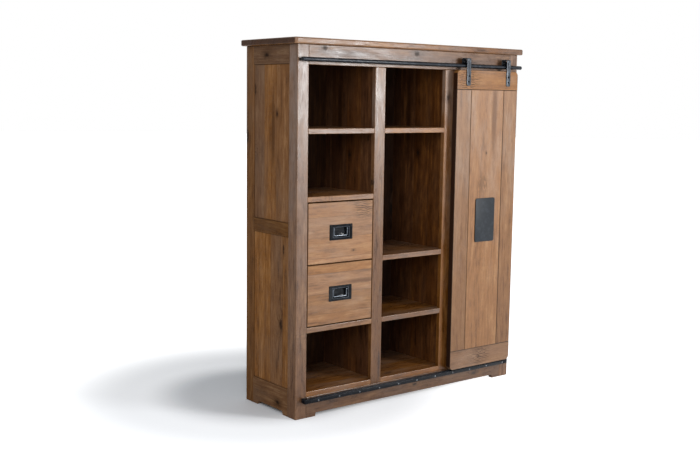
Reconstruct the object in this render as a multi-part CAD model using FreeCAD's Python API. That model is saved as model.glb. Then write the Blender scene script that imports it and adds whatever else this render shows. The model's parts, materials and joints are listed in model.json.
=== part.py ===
"""Open-front wardrobe of brushed timber with one hung sliding door and two drawers.

Lengths are in millimetres. Every shape is built in carcase coordinates: x runs from the
carcase's left face, y runs back from its front face and z runs up from the floor. save()
moves each finished shape so that the origin is under the middle of the whole piece.
"""

import FreeCAD, Part
import os

# Carcase
body_width = 1445.0
body_depth = 435.0
body_height = 1770.0
board = 25.0
foot_height = 18.0

# Top board
top_thickness = 30.0
top_side_overhang = 27.5
top_front_overhang = 20.0
top_back_overhang = 10.0
top_corner_radius = 14.0

# Corner posts and side frames
post_width = 62.0
front_post_depth = 68.0
back_post_depth = 63.0
side_rail_thickness = 25.0
side_panel_inset = 7.0
side_panel_thickness = 10.0
side_bottom_rail_top = 134.0
side_mid_rail = (873.0, 938.0)
side_top_rail_bottom = 1682.0
side_foot_reach = 40.0
foot_slant = 5.0

# Front frame
mid_stile_width = 65.0
bay_width = (body_width - 2 * post_width - 2 * mid_stile_width) / 3.0
frieze_bottom = 1678.0
apron_top = 103.0
front_foot_reach = 55.0
divider_thickness = 20.0
floor_top = apron_top + board

# Shelf undersides in each bay, from the top down
left_shelves = (1359.0, 1040.0, 415.0)
middle_shelves = (1359.0, 728.0, 415.0)
right_shelves = (1359.0, 728.0, 415.0)

# Back
back_rail_height = 85.0
back_rail_thickness = 24.0
back_panel_thickness = 8.0

# Drawers
drawer_gap = 6.0
drawer_side_gap = 4.0
drawer_front_thickness = 22.0
drawer_wall = 12.0
drawer_bottom_thickness = 6.0
drawer_box_back = 400.0
drawer_box_height = 255.0
drawer_lift = 0.5
runner_height = 12.0
runner_guide_height = 36.0
runner_width = 22.0
runner_guide = 4.0

# Drawer pulls
pull_width = 138.0
pull_height = 75.0
pull_flange = 2.5
cup_half_width = 50.0
cup_half_height = 26.0
cup_depth = 16.0
cup_side_wall = 4.0
cup_wall = 2.0
cup_floor = 1.5
bail_half_width = 40.0
bail_radius = 3.0
bail_pivot_height = 16.0
bail_bar_drop = 17.0
bail_pin_radius = 2.0
running_gap = 0.05

# Door, which hangs in front of the right-hand bay
door_width = 445.0
door_centre = 1184.5
door_bottom = 106.0
door_top = 1680.0
door_front = -45.0
door_back = -15.0
door_corner_radius = 25.0
door_rail_height = 100.0
door_stile_width = 103.0
seam_depth = 2.0
plaque_width = 140.0
plaque_height = 232.0
plaque_bottom = 781.0
plaque_thickness = 5.0
plaque_corner_radius = 9.0

# Hanging rail, its stand-offs and the hangers that roll on it
rail_radius = 10.0
rail_y = -30.0
rail_z = 1701.0
rail_end_inset = 3.0
standoff_radius = 6.0
standoff_inset = 13.0
strap_width = 27.0
strap_thickness = 5.0
strap_half_spacing = 146.0
strap_bottom = 1600.0
strap_top = 1740.0
strap_rear_bottom = 1710.0
strap_rear_y = -14.0
strap_bend_radius = 8.0
roller_groove_radius = 9.0
roller_flange_radius = 13.0
roller_width = 26.0
axle_radius = 4.0
axle_head_radius = 7.0
bolt_heights = (1648.0, 1620.0)
bolt_head_radius = 5.0
head_thickness = 3.0

# Floor track below the door
track_inset = 34.0
track_depth = 32.0
track_bottom = 80.0
track_top = 97.0
guide_groove = (-28.0, -20.0)
guide_groove_depth = 9.0
trim_groove = (-14.0, -7.0)
trim_groove_depth = 4.0
stop_length = 30.0
stop_top = 103.0
track_screw_first = 114.0
track_screw_pitch = 126.0
track_screw_count = 11
track_screw_z = 88.0
track_screw_radius = 4.0
track_screw_height = 1.5
guide_offset = 195.0
guide_pin_radius = 3.0
guide_pin_bottom = 90.0
guide_plate = (24.0, 16.0, 3.0)

bay_left = (
    post_width,
    post_width + bay_width + mid_stile_width,
    post_width + 2 * (bay_width + mid_stile_width),
)
back_face = body_depth - back_panel_thickness
hardware_reach = -door_front + strap_thickness + head_thickness
front_y = (hardware_reach - body_depth - top_back_overhang) / 2.0
pull_x = bay_left[0] + bay_width / 2.0


def save(shape, name):
    """Move a finished shape into the shared frame and write it."""
    shape.translate(FreeCAD.Vector(-body_width / 2.0, front_y, 0))
    shape.exportStep(os.path.join("parts", name + ".step"))


def block(x, y, z):
    """A box between two values on each axis."""
    shape = Part.makeBox(x[1] - x[0], y[1] - y[0], z[1] - z[0])
    shape.translate(FreeCAD.Vector(x[0], y[0], z[0]))
    return shape


def rod(start, end, radius):
    """A round bar between two points."""
    a = FreeCAD.Vector(*start)
    b = FreeCAD.Vector(*end)
    return Part.makeCylinder(radius, (b - a).Length, a, b - a)


def prism(points, along):
    """A closed outline of corner points, extruded along a vector."""
    corners = [FreeCAD.Vector(*p) for p in points]
    outline = Part.makePolygon(corners + corners[:1])
    return Part.Face(outline).extrude(FreeCAD.Vector(*along))


def round_edges(shape, radius, wanted):
    """Fillet every straight edge whose ends satisfy the given test."""
    edges = []
    for edge in shape.Edges:
        ends = [v.Point for v in edge.Vertexes]
        if len(ends) == 2 and wanted(ends[0], ends[1]):
            edges.append(edge)
    return shape.makeFillet(radius, edges)


def mirrored(shape):
    """The same shape on the other side of the carcase's middle plane."""
    return shape.mirror(FreeCAD.Vector(body_width / 2.0, 0, 0), FreeCAD.Vector(1, 0, 0))


def top_board():
    x = (-top_side_overhang, body_width + top_side_overhang)
    y = (-top_front_overhang, body_depth + top_back_overhang)
    slab = block(x, y, (body_height, body_height + top_thickness))

    def front_corner(a, b):
        return abs(a.x - b.x) < 0.1 and abs(a.y - b.y) < 0.1 and a.y < 0

    return round_edges(slab, top_corner_radius, front_corner)


def front_post():
    return block((0, post_width), (0, front_post_depth), (0, body_height))


def back_post():
    return block((0, post_width), (body_depth - back_post_depth, body_depth), (0, body_height))


def side_rails():
    """Top, middle and bottom rails of a side frame; the bottom one ends in bracket feet."""
    y0 = front_post_depth
    y1 = body_depth - back_post_depth
    x = (0, side_rail_thickness)
    top = block(x, (y0, y1), (side_top_rail_bottom, body_height))
    middle = block(x, (y0, y1), side_mid_rail)
    outline = [
        (0, y0, 0),
        (0, y0 + side_foot_reach, 0),
        (0, y0 + side_foot_reach + foot_slant, foot_height),
        (0, y1 - side_foot_reach - foot_slant, foot_height),
        (0, y1 - side_foot_reach, 0),
        (0, y1, 0),
        (0, y1, side_bottom_rail_top),
        (0, y0, side_bottom_rail_top),
    ]
    bottom = prism(outline, (side_rail_thickness, 0, 0))
    return Part.makeCompound([top, middle, bottom])


def side_panels():
    """The two panels of a side frame, set back from its outer face."""
    x = (side_panel_inset, side_panel_inset + side_panel_thickness)
    y = (front_post_depth, body_depth - back_post_depth)
    upper = block(x, y, (side_mid_rail[1], side_top_rail_bottom))
    lower = block(x, y, (side_bottom_rail_top, side_mid_rail[0]))
    return Part.makeCompound([upper, lower])


def frieze_rail():
    return block((post_width, body_width - post_width), (0, board), (frieze_bottom, body_height))


def apron_rail():
    """Front lower rail with a bracket foot at each end."""
    x0 = post_width
    x1 = body_width - post_width
    outline = [
        (x0, 0, 0),
        (x0 + front_foot_reach, 0, 0),
        (x0 + front_foot_reach + foot_slant, 0, foot_height),
        (x1 - front_foot_reach - foot_slant, 0, foot_height),
        (x1 - front_foot_reach, 0, 0),
        (x1, 0, 0),
        (x1, 0, apron_top),
        (x0, 0, apron_top),
    ]
    return prism(outline, (0, board, 0))


def mid_stile(index):
    x0 = bay_left[index] - mid_stile_width
    return block((x0, bay_left[index]), (0, board), (apron_top, frieze_bottom))


def divider_x(index):
    """Left and right faces of the divider behind a middle stile."""
    middle = bay_left[index] - mid_stile_width / 2.0
    return (middle - divider_thickness / 2.0, middle + divider_thickness / 2.0)


def divider(index):
    return block(divider_x(index), (board, back_face), (floor_top, body_height))


def around_posts_and_stiles(shape):
    """Notch a full-depth board around every post and stile it meets."""
    tall = (0, body_height)
    back = (body_depth - back_post_depth, body_depth)
    for x in ((0, post_width), (body_width - post_width, body_width)):
        shape = shape.cut(block(x, (0, front_post_depth), tall))
        shape = shape.cut(block(x, back, tall))
    for index in (1, 2):
        x = (bay_left[index] - mid_stile_width, bay_left[index])
        shape = shape.cut(block(x, (0, board), tall))
    return shape


def bottom_board():
    x = (side_rail_thickness, body_width - side_rail_thickness)
    return around_posts_and_stiles(block(x, (0, back_face), (apron_top, floor_top)))


def shelf(bay, underside):
    """One shelf, flush with the front frame, between two dividers or side frames."""
    walls = (
        side_rail_thickness,
        divider_x(1)[0],
        divider_x(1)[1],
        divider_x(2)[0],
        divider_x(2)[1],
        body_width - side_rail_thickness,
    )
    x = (walls[2 * bay], walls[2 * bay + 1])
    return around_posts_and_stiles(block(x, (0, back_face), (underside, underside + board)))


def back_rails():
    """Lower cross rail between the back posts, under the bottom board."""
    x = (post_width, body_width - post_width)
    y = (back_face - back_rail_thickness, back_face)
    return block(x, y, (apron_top - back_rail_height, apron_top))


def back_panel():
    x = (post_width, body_width - post_width)
    return block(x, (back_face, body_depth), (foot_height, body_height))


def drawer_runners():
    """Two ledged runners for each drawer: one on the posts, one on the divider."""
    right = bay_left[0] + bay_width
    wall = divider_x(1)[0]
    runners = []
    for level in (lower_drawer[0] - drawer_gap, upper_drawer[0] - drawer_gap):
        ledge = level + runner_height
        guide = level + runner_guide_height
        x = post_width
        left_outline = [
            (x, board, level),
            (x + runner_width, board, level),
            (x + runner_width, board, ledge),
            (x + runner_guide, board, ledge),
            (x + runner_guide, board, guide),
            (x, board, guide),
        ]
        right_outline = [
            (right - runner_width, board, level),
            (wall, board, level),
            (wall, board, guide),
            (right - runner_guide, board, guide),
            (right - runner_guide, board, ledge),
            (right - runner_width, board, ledge),
        ]
        for outline in (left_outline, right_outline):
            runners.append(prism(outline, (0, back_face - board, 0)))
    return Part.makeCompound(runners)


def pull_height_of(drawer):
    return (drawer[0] + drawer[1]) / 2.0


def drawer_front(drawer):
    """Flush front with a pocket for the pull's cup."""
    x = (bay_left[0] + drawer_side_gap, bay_left[0] + bay_width - drawer_side_gap)
    face = block(x, (0, drawer_front_thickness), drawer)
    z = pull_height_of(drawer)
    pocket = block(
        (pull_x - cup_half_width, pull_x + cup_half_width),
        (0, cup_depth),
        (z - cup_half_height, z + cup_half_height),
    )
    return face.cut(pocket)


def drawer_box(drawer):
    """Inner faces and levels that the drawer's walls and bottom share."""
    x0 = bay_left[0] + runner_guide + drawer_lift
    x1 = bay_left[0] + bay_width - runner_guide - drawer_lift
    z0 = drawer[0] - drawer_gap + runner_height + drawer_lift
    return x0, x1, z0, z0 + drawer_box_height


def drawer_sides(drawer):
    x0, x1, z0, z1 = drawer_box(drawer)
    y = (drawer_front_thickness, drawer_box_back)
    left = block((x0, x0 + drawer_wall), y, (z0, z1))
    right = block((x1 - drawer_wall, x1), y, (z0, z1))
    return Part.makeCompound([left, right])


def drawer_back(drawer):
    x0, x1, z0, z1 = drawer_box(drawer)
    y = (drawer_box_back - drawer_wall, drawer_box_back)
    return block((x0 + drawer_wall, x1 - drawer_wall), y, (z0, z1))


def drawer_bottom(drawer):
    x0, x1, z0, z1 = drawer_box(drawer)
    y = (drawer_front_thickness, drawer_box_back - drawer_wall)
    z = (z0 + drawer_bottom_thickness, z0 + 2 * drawer_bottom_thickness)
    return block((x0 + drawer_wall, x1 - drawer_wall), y, z)


def pull_plate(drawer):
    """Flanged cup let into the drawer front, with a bearing hole in each side wall."""
    z = pull_height_of(drawer)
    half = pull_width / 2.0
    flange = block(
        (pull_x - half, pull_x + half),
        (-pull_flange, 0),
        (z - pull_height / 2.0, z + pull_height / 2.0),
    )
    cup = block(
        (pull_x - cup_half_width, pull_x + cup_half_width),
        (0, cup_depth),
        (z - cup_half_height, z + cup_half_height),
    )
    hollow = block(
        (pull_x - cup_half_width + cup_side_wall, pull_x + cup_half_width - cup_side_wall),
        (-pull_flange, cup_depth - cup_floor),
        (z - cup_half_height + cup_wall, z + cup_half_height - cup_wall),
    )
    pin_z = z + bail_pivot_height
    bearing = rod(
        (pull_x - cup_half_width, bail_radius, pin_z),
        (pull_x + cup_half_width, bail_radius, pin_z),
        bail_pin_radius + running_gap,
    )
    return flange.fuse(cup).removeSplitter().cut(hollow).cut(bearing)


def bail(drawer):
    """U-shaped drop handle with a pivot pin at the top of each leg."""
    z = pull_height_of(drawer)
    top = z + bail_pivot_height
    low = z - bail_bar_drop
    left = pull_x - bail_half_width
    right = pull_x + bail_half_width
    y = bail_radius
    shape = rod((left, y, low), (right, y, low), bail_radius)
    pin_reach = cup_half_width - bail_half_width - 0.5
    for x, way in ((left, -1), (right, 1)):
        shape = shape.fuse(rod((x, y, low), (x, y, top), bail_radius))
        for joint in (low, top):
            shape = shape.fuse(Part.makeSphere(bail_radius, FreeCAD.Vector(x, y, joint)))
        shape = shape.fuse(rod((x, y, top), (x + way * pin_reach, y, top), bail_pin_radius))
    return shape


def door_outline():
    """The whole door slab, with rounded corners, before it is divided."""
    slab = block(
        (door_centre - door_width / 2.0, door_centre + door_width / 2.0),
        (door_front, door_back),
        (door_bottom, door_top),
    )

    def corner(a, b):
        return abs(a.x - b.x) < 0.1 and abs(a.z - b.z) < 0.1

    return round_edges(slab, door_corner_radius, corner)


def door_cross_rail(low, high):
    x = (door_centre - door_width / 2.0, door_centre + door_width / 2.0)
    return door_outline().common(block(x, (door_front, door_back), (low, high)))


def door_boards_z():
    return (door_bottom + door_rail_height, door_top - door_rail_height)


def seamed(x0, x1):
    """An upright door board with chamfered long front edges, which meet in a V seam."""
    z0, z1 = door_boards_z()
    outline = [
        (x0, door_back, z0),
        (x0, door_front + seam_depth, z0),
        (x0 + seam_depth, door_front, z0),
        (x1 - seam_depth, door_front, z0),
        (x1, door_front + seam_depth, z0),
        (x1, door_back, z0),
    ]
    return prism(outline, (0, 0, z1 - z0))


def door_stile(way):
    edge = door_centre + way * door_width / 2.0
    inner = edge - way * door_stile_width
    return seamed(min(edge, inner), max(edge, inner))


def door_panel():
    """The wide panel between the door's stiles."""
    reach = door_width / 2.0 - door_stile_width
    return seamed(door_centre - reach, door_centre + reach)


def door_plaque():
    plate = block(
        (door_centre - plaque_width / 2.0, door_centre + plaque_width / 2.0),
        (door_front - plaque_thickness, door_front),
        (plaque_bottom, plaque_bottom + plaque_height),
    )

    def corner(a, b):
        return abs(a.x - b.x) < 0.1 and abs(a.z - b.z) < 0.1

    return round_edges(plate, plaque_corner_radius, corner)


def strap_x(way):
    return door_centre + way * strap_half_spacing


def roller_axle_z():
    return rail_z + rail_radius + roller_groove_radius + running_gap


def hanger_strap(way):
    """Flat bar bent over the rail, bolted to the door's front."""
    x = (strap_x(way) - strap_width / 2.0, strap_x(way) + strap_width / 2.0)
    front = door_front - strap_thickness

    def upper_edge(a, b):
        return abs(a.y - b.y) < 0.1 and min(a.z, b.z) > strap_rear_bottom + 1

    outer = block(x, (front, strap_rear_y + strap_thickness), (strap_rear_bottom, strap_top))
    outer = round_edges(outer, strap_bend_radius, upper_edge)
    inner = block(x, (door_front, strap_rear_y), (strap_rear_bottom, strap_top - strap_thickness))
    inner = round_edges(inner, strap_bend_radius - strap_thickness, upper_edge)
    leg = block(x, (front, door_front), (strap_bottom, strap_rear_bottom))

    def low_corner(a, b):
        return abs(a.x - b.x) < 0.1 and abs(a.z - b.z) < 0.1 and a.z < strap_bottom + 1

    leg = round_edges(leg, strap_width / 3.0, low_corner)
    strap = outer.cut(inner).fuse(leg).removeSplitter()
    middle = strap_x(way)
    z = roller_axle_z()
    return strap.cut(rod((middle, front, z), (middle, 0, z), axle_radius + running_gap))


def hanger_straps():
    return Part.makeCompound([hanger_strap(-1), hanger_strap(1)])


def hanger_bolts():
    """Round bolt heads on the straps."""
    y = door_front - strap_thickness
    heads = []
    for way in (-1, 1):
        for z in bolt_heights:
            x = strap_x(way)
            heads.append(rod((x, y, z), (x, y - head_thickness, z), bolt_head_radius))
    return Part.makeCompound(heads)


def roller_axles():
    """Headed pins through the straps, one for each roller."""
    axles = []
    y = door_front - strap_thickness
    z = roller_axle_z()
    for way in (-1, 1):
        x = strap_x(way)
        pin = rod((x, y, z), (x, strap_rear_y + strap_thickness, z), axle_radius)
        axles.append(pin.fuse(rod((x, y, z), (x, y - head_thickness, z), axle_head_radius)))
    return Part.makeCompound(axles)


def roller(way):
    """Grooved wheel that runs on top of the rail."""
    x = strap_x(way)
    z = roller_axle_z()
    half = roller_width / 2.0
    wheel = rod((x, rail_y - half, z), (x, rail_y + half, z), roller_flange_radius)
    groove = rail_radius + 4 * running_gap
    ring = Part.makeTorus(
        roller_groove_radius + groove,
        groove,
        FreeCAD.Vector(x, rail_y, z),
        FreeCAD.Vector(0, 1, 0),
    )
    bore = rod((x, rail_y - half, z), (x, rail_y + half, z), axle_radius + running_gap)
    return wheel.cut(ring).cut(bore)


def rail_bar():
    """Round hanging rail with slightly rounded ends."""
    x0 = rail_end_inset
    x1 = body_width - rail_end_inset
    bar = rod((x0, rail_y, rail_z), (x1, rail_y, rail_z), rail_radius)
    ends = [edge for edge in bar.Edges if len(edge.Vertexes) == 1]
    return bar.makeFillet(2.0, ends)


def rail_standoffs():
    """Short posts between the rail and the front frame."""
    posts = []
    for x in (standoff_inset, body_width - standoff_inset):
        post = rod((x, rail_y, rail_z), (x, 0, rail_z), standoff_radius)
        bar = rod((x - 20, rail_y, rail_z), (x + 20, rail_y, rail_z), rail_radius)
        posts.append(post.cut(bar))
    return Part.makeCompound(posts)


def track():
    """Floor track: a bar with a groove for the door's guide pins and a shallow groove behind it."""
    span = (track_inset + stop_length, body_width - track_inset - stop_length)
    bar = block(span, (-track_depth, 0), (track_bottom, track_top))
    for groove, depth in ((guide_groove, guide_groove_depth), (trim_groove, trim_groove_depth)):
        bar = bar.cut(block(span, groove, (track_top - depth, track_top)))
    return bar


def track_stops():
    """Blocks that close the track's ends and stop the guide pins."""
    stops = []
    for x in (track_inset, body_width - track_inset - stop_length):
        stops.append(block((x, x + stop_length), (-track_depth, 0), (track_bottom, stop_top)))
    return Part.makeCompound(stops)


def track_screws():
    """Round screw heads along the track's front face."""
    heads = []
    for index in range(track_screw_count):
        x = track_screw_first + index * track_screw_pitch
        start = (x, -track_depth, track_screw_z)
        end = (x, -track_depth - track_screw_height, track_screw_z)
        heads.append(rod(start, end, track_screw_radius))
    return Part.makeCompound(heads)


def door_guides():
    """Guide pins with fixing plates under the door's bottom edge."""
    guides = []
    width, depth, thickness = guide_plate
    y = sum(guide_groove) / 2.0
    for way in (-1, 1):
        outer = door_centre + way * guide_offset
        inner = outer - way * width
        plate = block(
            (min(outer, inner), max(outer, inner)),
            (y - depth / 2.0, y + depth / 2.0),
            (door_bottom - thickness, door_bottom),
        )
        x = outer - way * guide_pin_radius
        pin = rod((x, y, guide_pin_bottom), (x, y, door_bottom), guide_pin_radius)
        guides.append(plate.fuse(pin))
    return Part.makeCompound(guides)


drawer_space = (left_shelves[2] + board, left_shelves[1])
drawer_height = (drawer_space[1] - drawer_space[0] - 3 * drawer_gap) / 2.0
lower_drawer = (drawer_space[0] + drawer_gap, drawer_space[0] + drawer_gap + drawer_height)
upper_drawer = (lower_drawer[1] + drawer_gap, lower_drawer[1] + drawer_gap + drawer_height)

os.makedirs("parts", exist_ok=True)

save(top_board(), "top_board")
save(front_post(), "left_front_post")
save(back_post(), "left_back_post")
save(side_rails(), "left_side_rails")
save(side_panels(), "left_side_panels")
save(mirrored(front_post()), "right_front_post")
save(mirrored(back_post()), "right_back_post")
save(mirrored(side_rails()), "right_side_rails")
save(mirrored(side_panels()), "right_side_panels")
save(frieze_rail(), "frieze_rail")
save(apron_rail(), "apron_rail")
save(mid_stile(1), "left_mid_stile")
save(mid_stile(2), "right_mid_stile")
save(divider(1), "left_divider")
save(divider(2), "right_divider")
save(bottom_board(), "bottom_board")
bays = (("left", left_shelves), ("middle", middle_shelves), ("right", right_shelves))
for bay, (side, levels) in enumerate(bays):
    for level, position in zip(levels, ("upper", "centre", "lower")):
        save(shelf(bay, level), side + "_shelf_" + position)
save(back_rails(), "back_rail")
save(back_panel(), "back_panel")
save(drawer_runners(), "drawer_runners")
for position, drawer in (("upper", upper_drawer), ("lower", lower_drawer)):
    name = position + "_drawer_"
    save(drawer_front(drawer), name + "front")
    save(drawer_sides(drawer), name + "sides")
    save(drawer_back(drawer), name + "back")
    save(drawer_bottom(drawer), name + "bottom")
    save(pull_plate(drawer), name + "pull")
    save(bail(drawer), name + "bail")
save(door_cross_rail(door_top - door_rail_height, door_top), "door_top_rail")
save(door_cross_rail(door_bottom, door_bottom + door_rail_height), "door_bottom_rail")
save(door_stile(-1), "door_left_stile")
save(door_stile(1), "door_right_stile")
save(door_panel(), "door_panel")
save(door_plaque(), "door_plaque")
save(hanger_straps(), "hanger_straps")
save(hanger_bolts(), "hanger_bolts")
save(roller_axles(), "roller_axles")
save(roller(-1), "left_roller")
save(roller(1), "right_roller")
save(rail_bar(), "hanging_rail")
save(rail_standoffs(), "rail_standoffs")
save(track(), "track")
save(track_stops(), "track_stops")
save(track_screws(), "track_screws")
save(door_guides(), "door_guides")
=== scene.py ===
"""Looks of the brushed-timber wardrobe with its hung sliding door.

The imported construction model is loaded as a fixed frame. Each sub-assembly is a class that
turns the construction solids into finished pieces: boards get worn, eased edges and a grain
that runs along them, and the steel fittings get domed heads, rims and rounded bends.
"""

import json
import logging
import math
import random
from dataclasses import dataclass
from enum import Enum
from typing import Dict, List, Optional, Sequence, Tuple

import bmesh
import bpy
from mathutils import Matrix, Vector, noise

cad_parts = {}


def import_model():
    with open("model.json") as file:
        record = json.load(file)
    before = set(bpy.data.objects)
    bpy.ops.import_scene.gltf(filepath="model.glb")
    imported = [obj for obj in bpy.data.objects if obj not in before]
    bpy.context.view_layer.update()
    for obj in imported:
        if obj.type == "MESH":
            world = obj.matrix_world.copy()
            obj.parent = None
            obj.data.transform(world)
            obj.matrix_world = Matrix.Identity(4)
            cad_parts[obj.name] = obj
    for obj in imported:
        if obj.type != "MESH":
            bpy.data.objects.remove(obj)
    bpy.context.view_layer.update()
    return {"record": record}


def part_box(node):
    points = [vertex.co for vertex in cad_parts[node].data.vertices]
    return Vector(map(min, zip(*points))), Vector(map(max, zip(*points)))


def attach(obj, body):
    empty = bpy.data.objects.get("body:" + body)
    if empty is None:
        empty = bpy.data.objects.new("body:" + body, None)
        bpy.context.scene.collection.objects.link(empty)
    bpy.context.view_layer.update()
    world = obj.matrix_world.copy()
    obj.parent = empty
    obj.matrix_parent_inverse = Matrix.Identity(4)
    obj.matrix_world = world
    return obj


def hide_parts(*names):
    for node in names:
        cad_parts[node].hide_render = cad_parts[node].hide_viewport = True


LOG = logging.getLogger("wardrobe")
MM = 0.001

Colour = Tuple[float, float, float]
Box = Tuple[Vector, Vector]


class Grain(Enum):
    """The direction in which a board's grain runs."""

    ACROSS = 0
    DEEP = 1
    UPRIGHT = 2


class MarkKind(Enum):
    """A feature of the timber, named after the mesh attribute that holds its place."""

    KNOT = "knot_spot"
    SECOND_KNOT = "second_knot_spot"
    STREAK = "streak_spot"
    CHECKS = "checks_spot"


@dataclass(frozen=True)
class Mark:
    """One knot, dark streak or patch of checks on a board.

    Attributes:
        kind: what it is.
        place: its place, as fractions of the node's box along x, y and z.
        size: its radius, in metres.
    """

    kind: MarkKind
    place: Tuple[float, float, float]
    size: float


@dataclass(frozen=True)
class TimberFinish:
    """Colours and surface of one timber finish.

    Attributes:
        name: material name.
        dark: colour of late-wood streaks.
        mid: main colour.
        light: colour of pale streaks.
        wash: colour of the greyed patches.
        wash_amount: how strongly the greyed patches show.
        knot_amount: how many knots there are, from 0 to 1.
        roughness: mean roughness.
        gloss: specular level of the wax.
        slot: the record's material slot.
    """

    name: str
    dark: Colour
    mid: Colour
    light: Colour
    wash: Colour
    wash_amount: float
    knot_amount: float
    roughness: float
    gloss: float
    slot: str


@dataclass(frozen=True)
class SteelFinish:
    """Colours and surface of one steel finish.

    Attributes:
        name: material name.
        base: main colour.
        worn: colour where the coating has rubbed thin.
        metallic: metallic value.
        roughness: mean roughness.
        gloss: specular level.
        dimple: depth of the hammered texture, in metres.
        slot: the record's material slot.
    """

    name: str
    base: Colour
    worn: Colour
    metallic: float
    roughness: float
    gloss: float
    dimple: float
    slot: str


FRAME_TIMBER = TimberFinish(
    "frame_timber", (0.032, 0.012, 0.005), (0.135, 0.057, 0.020), (0.245, 0.122, 0.050),
    (0.175, 0.122, 0.094), 0.55, 0.4, 0.27, 0.36, "frame_timber",
)
SIDE_TIMBER = TimberFinish(
    "side_timber", (0.050, 0.020, 0.007), (0.190, 0.086, 0.034), (0.320, 0.170, 0.078),
    (0.20, 0.13, 0.088), 0.4, 0.4, 0.50, 0.12, "frame_timber",
)
# The inner timber's colours are written dark, partly as painted shade of the deep inside of the compartments.
INNER_TIMBER = TimberFinish(
    "inner_timber", (0.016, 0.005, 0.002), (0.082, 0.031, 0.012), (0.190, 0.080, 0.027),
    (0.080, 0.046, 0.028), 0.3, 0.3, 0.40, 0.25, "inner_timber",
)
DOOR_TIMBER = TimberFinish(
    "door_timber", (0.090, 0.036, 0.013), (0.246, 0.115, 0.046), (0.345, 0.188, 0.088),
    (0.31, 0.218, 0.160), 0.42, 0.3, 0.36, 0.28, "door_timber",
)
BLACK_STEEL = SteelFinish(
    "black_steel", (0.003, 0.0035, 0.005), (0.014, 0.017, 0.022), 0.0, 0.16, 0.10, 0.00001, "black_steel"
)
TRACK_STEEL = SteelFinish(
    "track_steel", (0.004, 0.005, 0.007), (0.012, 0.014, 0.018), 0.0, 0.26, 0.14, 0.00002, "black_steel"
)
STRAP_STEEL = SteelFinish(
    "strap_steel", (0.024, 0.029, 0.036), (0.11, 0.125, 0.145), 0.4, 0.40, 0.3, 0.0004, "black_steel"
)
BAIL_STEEL = SteelFinish(
    "bail_steel", (0.07, 0.08, 0.095), (0.20, 0.215, 0.24), 0.85, 0.34, 0.5, 0.00005, "black_steel"
)
PLAQUE_STEEL = SteelFinish(
    "plaque_steel", (0.008, 0.011, 0.015), (0.024, 0.030, 0.038), 0.1, 0.46, 0.23, 0.0002, "plaque_steel"
)
SCREW_STEEL = SteelFinish(
    "screw_steel", (0.10, 0.105, 0.115), (0.28, 0.29, 0.31), 0.9, 0.35, 0.5, 0.00003, "bright_screws"
)


TIMBER_FINISHES = (FRAME_TIMBER, SIDE_TIMBER, INNER_TIMBER, DOOR_TIMBER)
STEEL_FINISHES = (BLACK_STEEL, TRACK_STEEL, STRAP_STEEL, BAIL_STEEL, PLAQUE_STEEL, SCREW_STEEL)
CHECK_COLOUR = (0.016, 0.009, 0.006, 1.0)
# Colour of rubbed-through steel, also used for the painted highlight lines on the rail, track and pulls.
BARE_STEEL_AND_HIGHLIGHT = (0.12, 0.135, 0.16, 1.0)
# Colour of the painted shade on the boards' edge faces and ends.
EDGE_SHADE_COLOUR = (0.022, 0.009, 0.005, 1.0)


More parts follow.
